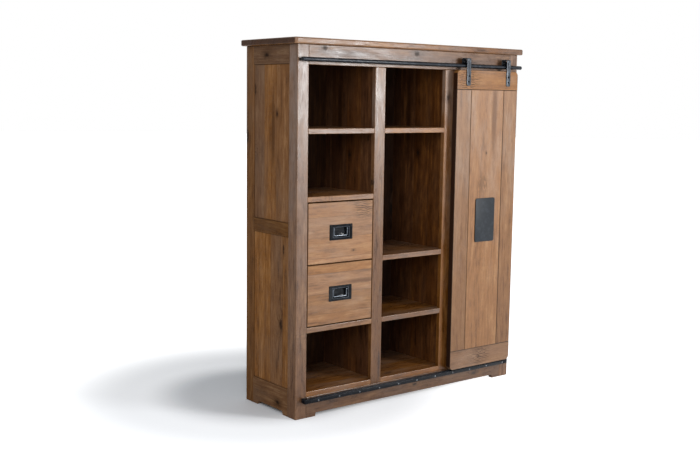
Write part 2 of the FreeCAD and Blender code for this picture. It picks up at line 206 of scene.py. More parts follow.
class NodeSheet:
    """A small helper for writing shader node trees."""

    def __init__(self, tree: bpy.types.NodeTree) -> None:
        """Keep the tree that nodes are added to."""
        self.tree = tree

    def add(self, kind: str, **inputs: object) -> bpy.types.Node:
        """Add a node and set or link its inputs.

        Args:
            kind: the node type, such as "ShaderNodeMath".
            inputs: input values by name, with underscores for spaces. A socket is linked.
                A key that is a property of the node, such as operation, sets it.

        Returns:
            The new node.
        """
        node = self.tree.nodes.new(kind)
        for key, value in inputs.items():
            if hasattr(node, key) and not isinstance(value, bpy.types.NodeSocket):
                setattr(node, key, value)
        for key, value in inputs.items():
            if hasattr(node, key) and not isinstance(value, bpy.types.NodeSocket):
                continue
            wanted = int(key[1:]) if key[0] == "i" and key[1:].isdigit() else key.replace("_", " ")
            self.feed(node, wanted, value)
        return node

    def feed(self, node: bpy.types.Node, key: object, value: object) -> None:
        """Link a socket to an input, or set the input's value.

        Args:
            node: the node that has the input.
            key: the input's name or index.
            value: a socket to link, or a plain value.
        """
        if isinstance(value, bpy.types.NodeSocket):
            self.tree.links.new(value, node.inputs[key])
        else:
            node.inputs[key].default_value = value

    def math(self, operation: str, a: object, b: object = 0.0, clamp: bool = False) -> bpy.types.NodeSocket:
        """One maths step.

        Args:
            operation: the operation's name.
            a: first value or socket.
            b: second value or socket.
            clamp: whether the result is kept from 0 to 1.

        Returns:
            The result socket.
        """
        node = self.tree.nodes.new("ShaderNodeMath")
        node.operation = operation
        node.use_clamp = clamp
        self.feed(node, 0, a)
        self.feed(node, 1, b)
        return node.outputs[0]

    def blend(self, share: object, a: object, b: object, mode: str = "MIX") -> bpy.types.NodeSocket:
        """Mix two colours.

        Args:
            share: how much of the second colour, as a value or socket.
            a: first colour or socket.
            b: second colour or socket.
            mode: the blend mode.

        Returns:
            The mixed colour socket.
        """
        node = self.tree.nodes.new("ShaderNodeMix")
        node.data_type = "RGBA"
        node.blend_type = mode
        node.clamp_result = False
        self.feed(node, 0, share)
        self.feed(node, 6, a)
        self.feed(node, 7, b)
        return node.outputs[2]

    def ramp(self, value: object, low: float, high: float) -> bpy.types.NodeSocket:
        """Map a range of a value smoothly onto 0 to 1.

        Args:
            value: the value or socket.
            low: the value that gives 0.
            high: the value that gives 1.

        Returns:
            The mapped socket.
        """
        node = self.tree.nodes.new("ShaderNodeMapRange")
        node.interpolation_type = "SMOOTHSTEP"
        self.feed(node, 0, value)
        self.feed(node, 1, low)
        self.feed(node, 2, high)
        return node.outputs[0]

    def noise(self, vector: object, scale: float, detail: float = 3.0,
              roughness: float = 0.5) -> bpy.types.NodeSocket:
        """A noise texture's value.

        Args:
            vector: the coordinates' socket.
            scale: the noise's scale.
            detail: number of octaves.
            roughness: how strong the finer octaves are.

        Returns:
            The value socket.
        """
        node = self.tree.nodes.new("ShaderNodeTexNoise")
        self.feed(node, "Vector", vector)
        self.feed(node, "Scale", scale)
        self.feed(node, "Detail", detail)
        self.feed(node, "Roughness", roughness)
        return node.outputs["Fac"]

    def vector_math(self, operation: str, a: object, b: object) -> bpy.types.NodeSocket:
        """One vector step.

        Args:
            operation: the operation's name.
            a: first vector or socket.
            b: second vector or socket.

        Returns:
            The result vector socket.
        """
        node = self.tree.nodes.new("ShaderNodeVectorMath")
        node.operation = operation
        self.feed(node, 0, a)
        self.feed(node, 1, b)
        return node.outputs[0]

    def combine(self, x: object, y: object, z: object) -> bpy.types.NodeSocket:
        """A vector from three values."""
        node = self.tree.nodes.new("ShaderNodeCombineXYZ")
        for index, value in enumerate((x, y, z)):
            self.feed(node, index, value)
        return node.outputs[0]

    def parts(self, vector: object) -> Tuple[bpy.types.NodeSocket, ...]:
        """The three values of a vector."""
        node = self.tree.nodes.new("ShaderNodeSeparateXYZ")
        self.feed(node, 0, vector)
        return tuple(node.outputs)


def new_group(name: str, inputs: Sequence[Tuple[str, str, object]],
              outputs: Sequence[Tuple[str, str]]) -> Tuple[bpy.types.NodeTree, NodeSheet, Dict, Dict]:
    """Start a shader node group with named sockets.

    Args:
        name: the group's name.
        inputs: name, socket type and default of each input.
        outputs: name and socket type of each output.

    Returns:
        The tree, its sheet, the input sockets by name and the output sockets by name.
    """
    tree = bpy.data.node_groups.new(name, "ShaderNodeTree")
    for title, kind, value in inputs:
        socket = tree.interface.new_socket(name=title, in_out="INPUT", socket_type=kind)
        if value is not None:
            socket.default_value = value
    for title, kind in outputs:
        tree.interface.new_socket(name=title, in_out="OUTPUT", socket_type=kind)
    start = tree.nodes.new("NodeGroupInput")
    end = tree.nodes.new("NodeGroupOutput")
    given = {title: start.outputs[title] for title, _, _ in inputs}
    wanted = {title: end.inputs[title] for title, _ in outputs}
    return tree, NodeSheet(tree), given, wanted


FLOAT = "NodeSocketFloat"
VECTOR = "NodeSocketVector"
COLOUR = "NodeSocketColor"


class SharedEffects:
    """The shader node groups that more than one finish uses."""

    def __init__(self) -> None:
        """Build every group once."""
        self.boards = self.build_boards()
        self.streaks = self.build_streaks()
        self.knots = self.build_knots()
        self.wash = self.build_wash()
        self.edges = self.build_edges()
        self.rub = self.build_rub()
        self.spots = self.build_spots()
        self.sawn = self.build_sawn()

    def build_spots(self) -> bpy.types.NodeTree:
        """A ragged spot on a board, drawn out along the grain.

        Returns:
            The group: it gives the spot's core and its wider halo.
        """
        tree, sheet, given, wanted = new_group(
            "marked_spot",
            [("Position", VECTOR, None), ("Spot", VECTOR, None), ("Stretch", FLOAT, 0.6)],
            [("Core", FLOAT), ("Halo", FLOAT)],
        )
        x, y, _ = sheet.parts(given["Position"])
        spot_x, spot_y, size = sheet.parts(given["Spot"])
        along = sheet.math("MULTIPLY", sheet.math("SUBTRACT", x, spot_x), given["Stretch"])
        across = sheet.math("SUBTRACT", y, spot_y)
        squares = sheet.math("ADD", sheet.math("MULTIPLY", along, along), sheet.math("MULTIPLY", across, across))
        ragged = sheet.noise(given["Position"], 65.0, 4.0, 0.6)
        share = sheet.math("DIVIDE", sheet.math("SQRT", squares), sheet.math("MAXIMUM", size, 0.0001))
        share = sheet.math("ADD", share, sheet.math("MULTIPLY", sheet.math("SUBTRACT", ragged, 0.5), 1.1))
        real = sheet.math("GREATER_THAN", size, 0.0002)
        core = sheet.math("SUBTRACT", 1.0, sheet.ramp(share, 0.2, 0.95))
        halo = sheet.math("SUBTRACT", 1.0, sheet.ramp(share, 0.6, 2.4))
        tree.links.new(sheet.math("MULTIPLY", core, real), wanted["Core"])
        tree.links.new(sheet.math("MULTIPLY", halo, real), wanted["Halo"])
        return tree

    def build_sawn(self) -> bpy.types.NodeTree:
        """Rows of short dark wavy checks, as a rough saw leaves.

        Returns:
            The group: it gives the checks.
        """
        tree, sheet, given, wanted = new_group(
            "sawn_checks", [("Position", VECTOR, None), ("Spacing", FLOAT, 0.0085)], [("Checks", FLOAT)]
        )
        x, y, _ = sheet.parts(given["Position"])
        sway = sheet.noise(sheet.combine(sheet.math("MULTIPLY", x, 45.0), sheet.math("MULTIPLY", y, 22.0), 2.0), 1.0, 2.0)
        rows = sheet.math("ADD", sheet.math("DIVIDE", y, given["Spacing"]), sheet.math("MULTIPLY", sway, 1.9))
        wave = sheet.math("SINE", sheet.math("MULTIPLY", rows, math.tau))
        gaps = sheet.noise(sheet.combine(sheet.math("MULTIPLY", x, 38.0), sheet.math("MULTIPLY", y, 120.0), 5.0), 1.0, 1.0)
        checks = sheet.math("MULTIPLY", sheet.ramp(wave, 0.0, 0.7), sheet.ramp(gaps, 0.36, 0.48))
        tree.links.new(checks, wanted["Checks"])
        return tree

    def build_boards(self) -> bpy.types.NodeTree:
        """Divide a face into glued boards, each with its own stretch of grain.

        Returns:
            The group: it gives shifted coordinates, a tone for each board and its seam lines.
        """
        tree, sheet, given, wanted = new_group(
            "glued_boards",
            [("Position", VECTOR, None), ("Board Width", FLOAT, 0.1), ("Seed", FLOAT, 0.0)],
            [("Position", VECTOR), ("Tone", FLOAT), ("Hue", FLOAT), ("Seam", FLOAT)],
        )
        x, y, z = sheet.parts(given["Position"])
        across = sheet.math("DIVIDE", y, given["Board Width"])
        wobble = sheet.math("MULTIPLY", sheet.math("SINE", given["Seed"]), 0.37)
        across = sheet.math("ADD", across, wobble)
        cell = sheet.math("FLOOR", across)
        key = sheet.combine(cell, given["Seed"], 3.7)
        white = sheet.tree.nodes.new("ShaderNodeTexWhiteNoise")
        white.noise_dimensions = "3D"
        sheet.feed(white, "Vector", key)
        shift = sheet.tree.nodes.new("ShaderNodeVectorMath")
        shift.operation = "SCALE"
        sheet.feed(shift, 0, white.outputs["Color"])
        sheet.feed(shift, "Scale", 9.0)
        seed_shift = sheet.combine(given["Seed"], sheet.math("MULTIPLY", given["Seed"], 1.7), 0.0)
        moved = sheet.vector_math("ADD", given["Position"], shift.outputs[0])
        moved = sheet.vector_math("ADD", moved, seed_shift)
        inside = sheet.math("FRACT", across)
        near = sheet.math("MINIMUM", inside, sheet.math("SUBTRACT", 1.0, inside))
        metres = sheet.math("MULTIPLY", near, given["Board Width"])
        seam = sheet.math("SUBTRACT", 1.0, sheet.ramp(metres, 0.0002, 0.0012))
        red, green, _ = sheet.parts(white.outputs["Color"])
        tree.links.new(moved, wanted["Position"])
        tree.links.new(red, wanted["Tone"])
        tree.links.new(green, wanted["Hue"])
        tree.links.new(seam, wanted["Seam"])
        return tree

    def build_streaks(self) -> bpy.types.NodeTree:
        """Long grain: broad figure, narrow streaks and fine brushed pores.

        Returns:
            The group: it gives the figure, the pores and a height.
        """
        tree, sheet, given, wanted = new_group(
            "long_grain",
            [("Position", VECTOR, None), ("Knot Pull", FLOAT, 0.0)],
            [("Figure", FLOAT), ("Streak", FLOAT), ("Pores", FLOAT), ("Mottle", FLOAT), ("Height", FLOAT)],
        )
        x, y, z = sheet.parts(given["Position"])
        sway = sheet.noise(sheet.combine(sheet.math("MULTIPLY", x, 1.6), sheet.math("MULTIPLY", y, 5.0), z), 1.0, 2.0)
        sway = sheet.math("MULTIPLY", sheet.math("SUBTRACT", sway, 0.5), 0.045)
        pull = sheet.math("MULTIPLY", given["Knot Pull"], 0.02)
        bent = sheet.math("ADD", sheet.math("ADD", y, sway), pull)
        flat = sheet.math("ADD", bent, sheet.math("MULTIPLY", z, 0.8))
        broad = sheet.noise(sheet.combine(sheet.math("MULTIPLY", x, 0.9), sheet.math("MULTIPLY", flat, 16.0), 0.0), 1.0, 3.0, 0.55)
        narrow = sheet.noise(sheet.combine(sheet.math("MULTIPLY", x, 3.5), sheet.math("MULTIPLY", flat, 95.0), 1.0), 1.0, 3.0, 0.6)
        fine = sheet.noise(sheet.combine(sheet.math("MULTIPLY", x, 14.0), sheet.math("MULTIPLY", flat, 520.0), 2.0), 1.0, 2.0, 0.6)
        pores = sheet.math("SUBTRACT", 1.0, sheet.ramp(fine, 0.34, 0.47))
        height = sheet.math("ADD", sheet.math("MULTIPLY", narrow, 0.6), sheet.math("MULTIPLY", fine, 0.4))
        patches = sheet.combine(sheet.math("MULTIPLY", x, 9.0), sheet.math("MULTIPLY", flat, 38.0), 6.0)
        tree.links.new(sheet.noise(patches, 1.0, 4.0, 0.62), wanted["Mottle"])
        tree.links.new(broad, wanted["Figure"])
        tree.links.new(narrow, wanted["Streak"])
        tree.links.new(pores, wanted["Pores"])
        tree.links.new(height, wanted["Height"])
        return tree

    def build_knots(self) -> bpy.types.NodeTree:
        """Scattered knots with dark cores and rings.

        Returns:
            The group: it gives the knot's darkness and the pull that it has on the grain.
        """
        tree, sheet, given, wanted = new_group(
            "knots",
            [("Position", VECTOR, None), ("Amount", FLOAT, 0.5)],
            [("Dark", FLOAT), ("Pull", FLOAT)],
        )
        x, y, z = sheet.parts(given["Position"])
        place = sheet.combine(sheet.math("MULTIPLY", x, 2.3), sheet.math("MULTIPLY", y, 6.0), 0.5)
        cells = sheet.tree.nodes.new("ShaderNodeTexVoronoi")
        cells.voronoi_dimensions = "2D"
        sheet.feed(cells, "Vector", place)
        sheet.feed(cells, "Scale", 1.0)
        red, green, _ = sheet.parts(cells.outputs["Color"])
        chosen = sheet.math("LESS_THAN", red, sheet.math("MULTIPLY", given["Amount"], 0.35))
        ragged = sheet.noise(given["Position"], 90.0, 2.0)
        distance = sheet.math("ADD", cells.outputs["Distance"], sheet.math("MULTIPLY", sheet.math("SUBTRACT", ragged, 0.5), 0.05))
        radius = sheet.math("ADD", 0.035, sheet.math("MULTIPLY", green, 0.06))
        share = sheet.math("DIVIDE", distance, radius)
        core = sheet.math("SUBTRACT", 1.0, sheet.ramp(share, 0.35, 1.1))
        halo = sheet.math("SUBTRACT", 1.0, sheet.ramp(share, 0.8, 3.2))
        dark = sheet.math("MULTIPLY", sheet.math("ADD", core, sheet.math("MULTIPLY", halo, 0.3), True), chosen)
        pull = sheet.math("MULTIPLY", halo, chosen)
        tree.links.new(dark, wanted["Dark"])
        tree.links.new(pull, wanted["Pull"])
        return tree

    def build_wash(self) -> bpy.types.NodeTree:
        """Greyed patches and short cross-grain checks of old timber.

        Returns:
            The group: it gives the greyed mask and the checks.
        """
        tree, sheet, given, wanted = new_group(
            "weathering",
            [("Position", VECTOR, None), ("Amount", FLOAT, 0.5)],
            [("Grey", FLOAT), ("Checks", FLOAT)],
        )
        x, y, z = sheet.parts(given["Position"])
        patch = sheet.noise(sheet.combine(sheet.math("MULTIPLY", x, 3.0), sheet.math("MULTIPLY", y, 9.0), z), 1.0, 4.0, 0.6)
        grey = sheet.math("MULTIPLY", sheet.ramp(patch, 0.42, 0.72), given["Amount"])
        area = sheet.noise(sheet.combine(sheet.math("MULTIPLY", x, 4.0), sheet.math("MULTIPLY", y, 7.0), 4.0), 1.0, 1.0)
        dash = sheet.noise(sheet.combine(sheet.math("MULTIPLY", x, 160.0), sheet.math("MULTIPLY", y, 70.0), 1.0), 1.0, 1.0)
        checks = sheet.math("MULTIPLY", sheet.ramp(area, 0.66, 0.74), sheet.ramp(dash, 0.56, 0.64))
        tree.links.new(grey, wanted["Grey"])
        tree.links.new(checks, wanted["Checks"])
        return tree

    def build_edges(self) -> bpy.types.NodeTree:
        """Masks along a board's edges, from its half sizes: wear, and where the painted edge shade goes.

        Returns:
            The group: it gives the worn mask, the rim of the face, the end grain and the edge faces; the last two also
                place the painted edge shade.
        """
        tree, sheet, given, wanted = new_group(
            "edge_wear_and_shade",
            [("Position", VECTOR, None), ("Half Size", VECTOR, None), ("Reach", FLOAT, 0.006)],
            [("Worn", FLOAT), ("Groove", FLOAT), ("End Grain", FLOAT), ("Edge Face", FLOAT)],
        )
        away = sheet.tree.nodes.new("ShaderNodeVectorMath")
        away.operation = "ABSOLUTE"
        sheet.feed(away, 0, given["Position"])
        gap = sheet.vector_math("SUBTRACT", given["Half Size"], away.outputs[0])
        a, b, c = sheet.parts(gap)
        low = sheet.math("MINIMUM", a, sheet.math("MINIMUM", b, c))
        high = sheet.math("MAXIMUM", a, sheet.math("MAXIMUM", b, c))
        total = sheet.math("ADD", a, sheet.math("ADD", b, c))
        middle = sheet.math("SUBTRACT", sheet.math("SUBTRACT", total, low), high)
        ragged = sheet.noise(given["Position"], 55.0, 4.0, 0.65)
        reach = sheet.math("MULTIPLY", given["Reach"], sheet.math("MULTIPLY", ragged, 2.0))
        worn = sheet.math("SUBTRACT", 1.0, sheet.math("DIVIDE", middle, reach), True)
        rim = sheet.math("ADD", sheet.math("MINIMUM", a, b), sheet.math("MULTIPLY", ragged, -0.003))
        groove = sheet.math("SUBTRACT", 1.0, sheet.ramp(rim, 0.0002, 0.0034))
        tree.links.new(worn, wanted["Worn"])
        tree.links.new(sheet.math("SUBTRACT", 1.0, sheet.ramp(b, 0.0006, 0.0022)), wanted["Edge Face"])
        tree.links.new(groove, wanted["Groove"])
        tree.links.new(sheet.math("SUBTRACT", 1.0, sheet.ramp(a, 0.0006, 0.0022)), wanted["End Grain"])
        return tree

    def build_rub(self) -> bpy.types.NodeTree:
        """Rubbed patches, dust and dimples on coated steel.

        Returns:
            The group: it gives the rubbed mask and a height.
        """
        tree, sheet, given, wanted = new_group(
            "rubbed_steel",
            [("Position", VECTOR, None), ("Scale", FLOAT, 1.0)],
            [("Rubbed", FLOAT), ("Height", FLOAT)],
        )
        scaled = sheet.tree.nodes.new("ShaderNodeVectorMath")
        scaled.operation = "SCALE"
        sheet.feed(scaled, 0, given["Position"])
        sheet.feed(scaled, "Scale", given["Scale"])
        blotch = sheet.noise(scaled.outputs[0], 38.0, 5.0, 0.62)
        fine = sheet.noise(scaled.outputs[0], 260.0, 3.0, 0.6)
        rubbed = sheet.math("ADD", sheet.math("MULTIPLY", sheet.ramp(blotch, 0.45, 0.72), 0.75), sheet.math("MULTIPLY", sheet.ramp(fine, 0.5, 0.75), 0.35), True)
        height = sheet.math("ADD", sheet.math("MULTIPLY", blotch, 0.7), sheet.math("MULTIPLY", fine, 0.3))
        tree.links.new(rubbed, wanted["Rubbed"])
        tree.links.new(height, wanted["Height"])
        return tree


class Palette:
    """Builds and keeps the materials."""

    def __init__(self) -> None:
        """Build the shared groups, then one material for each finish."""
        self.effects = SharedEffects()
        self.timber = {f.name: self.timber_material(f) for f in TIMBER_FINISHES}
        self.steel = {
            f.name: self.steel_material(f) for f in STEEL_FINISHES
        }

    @staticmethod
    def start(name: str) -> Tuple[bpy.types.Material, NodeSheet, bpy.types.Node]:
        """Start a node material.

        Args:
            name: the material's name.

        Returns:
            The material, its sheet and its Principled shader.
        """
        material = bpy.data.materials.new(name)
        material.use_nodes = True
        tree = material.node_tree
        shader = next(n for n in tree.nodes if n.type == "BSDF_PRINCIPLED")
        return material, NodeSheet(tree), shader

    def group(self, sheet: NodeSheet, tree: bpy.types.NodeTree) -> bpy.types.Node:
        """Place a shared group in a material."""
        node = sheet.tree.nodes.new("ShaderNodeGroup")
        node.node_tree = tree
        return node

    @staticmethod
    def attribute(sheet: NodeSheet, name: str) -> bpy.types.Node:
        """Read a mesh attribute."""
        node = sheet.tree.nodes.new("ShaderNodeAttribute")
        node.attribute_name = name
        return node

    def timber_material(self, finish: TimberFinish) -> bpy.types.Material:
        """Timber whose grain follows each board's own attributes.

        Args:
            finish: the finish to build.

        Returns:
            The material.
        """
        material, sheet, shader = self.start(finish.name)
        place = self.attribute(sheet, "grain_place").outputs["Vector"]
        half = self.attribute(sheet, "grain_half").outputs["Vector"]
        traits = self.attribute(sheet, "board_traits").outputs["Vector"]
        seed, tone, width = sheet.parts(traits)
        boards = self.group(sheet, self.effects.boards)
        sheet.feed(boards, "Position", place)
        sheet.feed(boards, "Board Width", width)
        sheet.feed(boards, "Seed", seed)
        shifted = boards.outputs["Position"]
        knots = self.group(sheet, self.effects.knots)
        sheet.feed(knots, "Position", shifted)
        sheet.feed(knots, "Amount", finish.knot_amount)
        grain = self.group(sheet, self.effects.streaks)
        sheet.feed(grain, "Position", shifted)
        sheet.feed(grain, "Knot Pull", knots.outputs["Pull"])
        wash = self.group(sheet, self.effects.wash)
        sheet.feed(wash, "Position", shifted)
        sheet.feed(wash, "Amount", finish.wash_amount)
        edges = self.group(sheet, self.effects.edges)
        sheet.feed(edges, "Position", place)
        sheet.feed(edges, "Half Size", half)

        spots = {kind: self.spot(sheet, place, kind) for kind in MarkKind}
        sawn = self.group(sheet, self.effects.sawn)
        sheet.feed(sawn, "Position", place)
        # This attribute holds each board's rim darkening, its painted edge shade and its partly painted sheen.
        joint_darkening, edge_painted_shade, painted_sheen_paling = sheet.parts(self.attribute(sheet, "board_joints_shade_sheen").outputs["Vector"])

        figure = sheet.ramp(grain.outputs["Figure"], 0.32, 0.68)
        streak = sheet.ramp(grain.outputs["Streak"], 0.32, 0.68)
        mottle = sheet.ramp(grain.outputs["Mottle"], 0.30, 0.70)
        mixed = sheet.math("ADD", sheet.math("MULTIPLY", figure, 0.30), sheet.math("MULTIPLY", streak, 0.28))
        mixed = sheet.math("ADD", mixed, sheet.math("MULTIPLY", mottle, 0.42))
        low = sheet.blend(sheet.ramp(mixed, 0.0, 0.5), (*finish.dark, 1.0), (*finish.mid, 1.0))
        colour = sheet.blend(sheet.ramp(mixed, 0.45, 1.0), low, (*finish.light, 1.0))
        # Painted sheen, in part: the board is greyed more towards its top or right end.
        along = sheet.math("DIVIDE", sheet.parts(place)[0], sheet.parts(half)[0])
        sheen_grey_scale = sheet.math("ADD", 1.0, sheet.math("MULTIPLY", painted_sheen_paling, along))
        grey = sheet.math("MULTIPLY", wash.outputs["Grey"], sheen_grey_scale)
        grey = sheet.math("ADD", grey, sheet.math("MULTIPLY", sheet.math("MULTIPLY", painted_sheen_paling, along), 0.25), True)
        colour = sheet.blend(grey, colour, (*finish.wash, 1.0))
        colour = sheet.blend(sheet.math("MULTIPLY", grain.outputs["Pores"], 0.55), colour, (*finish.dark, 1.0))
        halo = sheet.math("MULTIPLY", spots[MarkKind.KNOT].outputs["Halo"], 0.5)
        colour = sheet.blend(halo, colour, (*finish.dark, 1.0))
        halo = sheet.math("MULTIPLY", spots[MarkKind.SECOND_KNOT].outputs["Halo"], 0.5)
        colour = sheet.blend(halo, colour, (*finish.dark, 1.0))
        streak_dark = sheet.math("MULTIPLY", spots[MarkKind.STREAK].outputs["Halo"], 0.7)
        colour = sheet.blend(streak_dark, colour, (*finish.dark, 1.0))
        checks = sheet.math("MULTIPLY", sawn.outputs["Checks"], spots[MarkKind.CHECKS].outputs["Halo"])
        checks = sheet.math("ADD", checks, sheet.math("MULTIPLY", wash.outputs["Checks"], 0.5), True)
        core = sheet.math("MAXIMUM", spots[MarkKind.KNOT].outputs["Core"], spots[MarkKind.SECOND_KNOT].outputs["Core"])
        core = sheet.math("MAXIMUM", core, knots.outputs["Dark"])
        worn = sheet.math("MULTIPLY", edges.outputs["Worn"], 0.3)
        colour = sheet.blend(worn, colour, (*finish.light, 1.0))
        dark_marks = sheet.math("MAXIMUM", sheet.math("MULTIPLY", checks, 0.9), sheet.math("MULTIPLY", core, 0.85))
        groove = sheet.math("MULTIPLY", edges.outputs["Groove"], joint_darkening)
        dark_marks = sheet.math("MAXIMUM", dark_marks, sheet.math("MULTIPLY", groove, 0.8))
        colour = sheet.blend(dark_marks, colour, CHECK_COLOUR)
        end_grain = sheet.math("MULTIPLY", edges.outputs["End Grain"], 0.92)
        colour = sheet.blend(end_grain, colour, (*finish.dark, 1.0))
        # Painted shade: the edge faces and end grain are darkened towards the edge shade colour.
        edge_shaded = sheet.math("MAXIMUM", edges.outputs["Edge Face"], edges.outputs["End Grain"])
        edge_shaded = sheet.math("MULTIPLY", edge_shaded, edge_painted_shade)
        colour = sheet.blend(edge_shaded, colour, EDGE_SHADE_COLOUR)
        board_tone = sheet.math("ADD", 0.84, sheet.math("MULTIPLY", boards.outputs["Tone"], 0.32))
        # Painted sheen, in part: the board is painted brighter towards its top or right end.
        paler = sheet.math("MULTIPLY", sheet.math("MULTIPLY", painted_sheen_paling, along), 0.14)
        level = sheet.math("MULTIPLY", sheet.math("MULTIPLY", board_tone, tone), sheet.math("ADD", 1.0, paler))
        seam_shade = sheet.math("SUBTRACT", 1.0, sheet.math("MULTIPLY", boards.outputs["Seam"], 0.5))
        hue = sheet.tree.nodes.new("ShaderNodeHueSaturation")
        sheet.feed(hue, "Color", colour)
        sheet.feed(hue, "Value", sheet.math("MULTIPLY", level, seam_shade))
        sheet.feed(hue, "Saturation", sheet.math("ADD", 0.88, sheet.math("MULTIPLY", boards.outputs["Hue"], 0.24)))
        sheet.feed(shader, "Base Color", hue.outputs["Color"])
        rough = sheet.math("ADD", finish.roughness - 0.09, sheet.math("MULTIPLY", grain.outputs["Streak"], 0.10))
        rough = sheet.math("ADD", rough, sheet.math("MULTIPLY", mottle, 0.16))
        rough = sheet.math("ADD", rough, sheet.math("MULTIPLY", grain.outputs["Pores"], 0.12))
        rough = sheet.math("ADD", rough, sheet.math("MULTIPLY", dark_marks, 0.25))
        sheet.feed(shader, "Roughness", rough)
        height = sheet.math("SUBTRACT", grain.outputs["Height"], sheet.math("MULTIPLY", dark_marks, 0.8))
        height = sheet.math("SUBTRACT", height, sheet.math("MULTIPLY", boards.outputs["Seam"], 0.7))
        bump = sheet.tree.nodes.new("ShaderNodeBump")
        sheet.feed(bump, "Height", height)
        bump.inputs["Strength"].default_value = 0.35
        bump.inputs["Distance"].default_value = 0.0012
        sheet.feed(shader, "Normal", bump.outputs[0])
        facing = sheet.parts(sheet.tree.nodes.new("ShaderNodeNewGeometry").outputs["Normal"])[1]
        front = sheet.math("MULTIPLY", facing, -1.0, True)
        polish = sheet.math("ADD", 0.25, sheet.math("MULTIPLY", front, 0.75))
        sheet.feed(shader, "Specular IOR Level", sheet.math("MULTIPLY", polish, finish.gloss))
        return material

    def spot(self, sheet: NodeSheet, place: bpy.types.NodeSocket, kind: MarkKind) -> bpy.types.Node:
        """Place the spot group for one kind of mark.

        Args:
            sheet: the material's sheet.
            place: the board's own coordinates.
            kind: the kind of mark.

        Returns:
            The group node.
        """
        node = self.group(sheet, self.effects.spots)
        sheet.feed(node, "Position", place)
        sheet.feed(node, "Spot", self.attribute(sheet, kind.value).outputs["Vector"])
        stretch = {MarkKind.STREAK: 0.09, MarkKind.CHECKS: 0.75}.get(kind, 0.6)
        sheet.feed(node, "Stretch", stretch)
        return node

    def steel_material(self, finish: SteelFinish) -> bpy.types.Material:
        """Coated steel with rubbed patches.

        Args:
            finish: the finish to build.

        Returns:
            The material.
        """
        material, sheet, shader = self.start(finish.name)
        spot = sheet.tree.nodes.new("ShaderNodeTexCoord").outputs["Object"]
        rub = self.group(sheet, self.effects.rub)
        sheet.feed(rub, "Position", spot)
        colour = sheet.blend(rub.outputs["Rubbed"], (*finish.base, 1.0), (*finish.worn, 1.0))
        # This attribute marks both rubbed-through steel and painted highlight lines; both get the rubbed-through steel
        # colour.
        rim = sheet.parts(self.attribute(sheet, "wear_and_painted_highlight").outputs["Vector"])[0]
        bare_and_highlight = sheet.math("MULTIPLY", rim, sheet.math("ADD", 0.45, sheet.math("MULTIPLY", rub.outputs["Rubbed"], 0.6)), True)
        colour = sheet.blend(bare_and_highlight, colour, BARE_STEEL_AND_HIGHLIGHT)
        sheet.feed(shader, "Base Color", colour)
        rough = sheet.math("ADD", finish.roughness - 0.03, sheet.math("MULTIPLY", rub.outputs["Rubbed"], 0.07))
        sheet.feed(shader, "Roughness", rough)
        shader.inputs["Metallic"].default_value = finish.metallic
        shader.inputs["Specular IOR Level"].default_value = finish.gloss
        bump = sheet.tree.nodes.new("ShaderNodeBump")
        sheet.feed(bump, "Height", rub.outputs["Height"])
        bump.inputs["Strength"].default_value = 0.5
        bump.inputs["Distance"].default_value = max(finish.dimple, 0.00005)
        sheet.feed(shader, "Normal", bump.outputs[0])
        return material


@dataclass(frozen=True)
class BoardLook:
    """How the boards of one node are dressed.

    Attributes:
        grain: the way the grain runs.
        width: width of the glued boards, in metres; a large value means one board.
        ease: how far the edges are rounded off, in metres.
        tone: brightness against the finish's own.
        joint_darkening: how dark the face is made along its rim, at the joints, from 0 to 1.
        edge_painted_shade: how dark the board's long edges and ends are painted, as painted shade, from 0 to 1.
        painted_sheen_paling: how much paler and greyer it is painted towards the top or right end, which stands in
            partly for the light's sheen there, from 0 to 1.
        marks: knots, streaks and checks on the boards.
    """

    grain: Grain
    width: float = 5.0
    ease: float = 0.0022
    tone: float = 1.0
    joint_darkening: float = 0.0
    edge_painted_shade: float = 0.0
    painted_sheen_paling: float = 0.0
    marks: Tuple[Mark, ...] = ()


def loose_solids(bm: bmesh.types.BMesh) -> List[List[bmesh.types.BMVert]]:
    """The separate solids of a mesh.

    Args:
        bm: the mesh.

    Returns:
        The vertices of each solid.
    """
    seen = set()
    found = []
    for start in bm.verts:
        if start in seen:
            continue
        seen.add(start)
        stack = [start]
        solid = []
        while stack:
            vert = stack.pop()
            solid.append(vert)
            for edge in vert.link_edges:
                other = edge.other_vert(vert)
                if other not in seen:
                    seen.add(other)
                    stack.append(other)
        found.append(solid)
    return found


def span(points: Sequence[Vector]) -> Box:
    """The lowest and highest corner of some points."""
    low = Vector([min(p[i] for p in points) for i in range(3)])
    high = Vector([max(p[i] for p in points) for i in range(3)])
    return low, high


def clean_solid(node: str) -> bmesh.types.BMesh:
    """A construction solid as a mesh of whole flat faces.

    Args:
        node: the node's name.

    Returns:
        The mesh.
    """
    bm = bmesh.new()
    bm.from_mesh(bpy.data.objects[node].data)
    bmesh.ops.remove_doubles(bm, verts=bm.verts, dist=0.00001)
    bmesh.ops.dissolve_limit(
        bm, angle_limit=math.radians(0.5), verts=bm.verts, edges=bm.edges, use_dissolve_boundaries=False
    )
    bmesh.ops.recalc_face_normals(bm, faces=bm.faces)
    return bm


def ease_edges(bm: bmesh.types.BMesh, width: float, steps: int, least_angle: float) -> None:
    """Round off a solid's sharp outer edges.

    Args:
        bm: the mesh.
        width: how far in the rounding starts.
        steps: number of facets.
        least_angle: edges that turn less than this, in degrees, stay.
    """
    sharp = [
        e for e in bm.edges
        if len(e.link_faces) == 2 and e.calc_face_angle(0.0) > math.radians(least_angle)
    ]
    bmesh.ops.bevel(
        bm, geom=sharp, offset=width, offset_type="OFFSET", segments=steps, profile=0.55,
        affect="EDGES", clamp_overlap=True, loop_slide=True,
    )


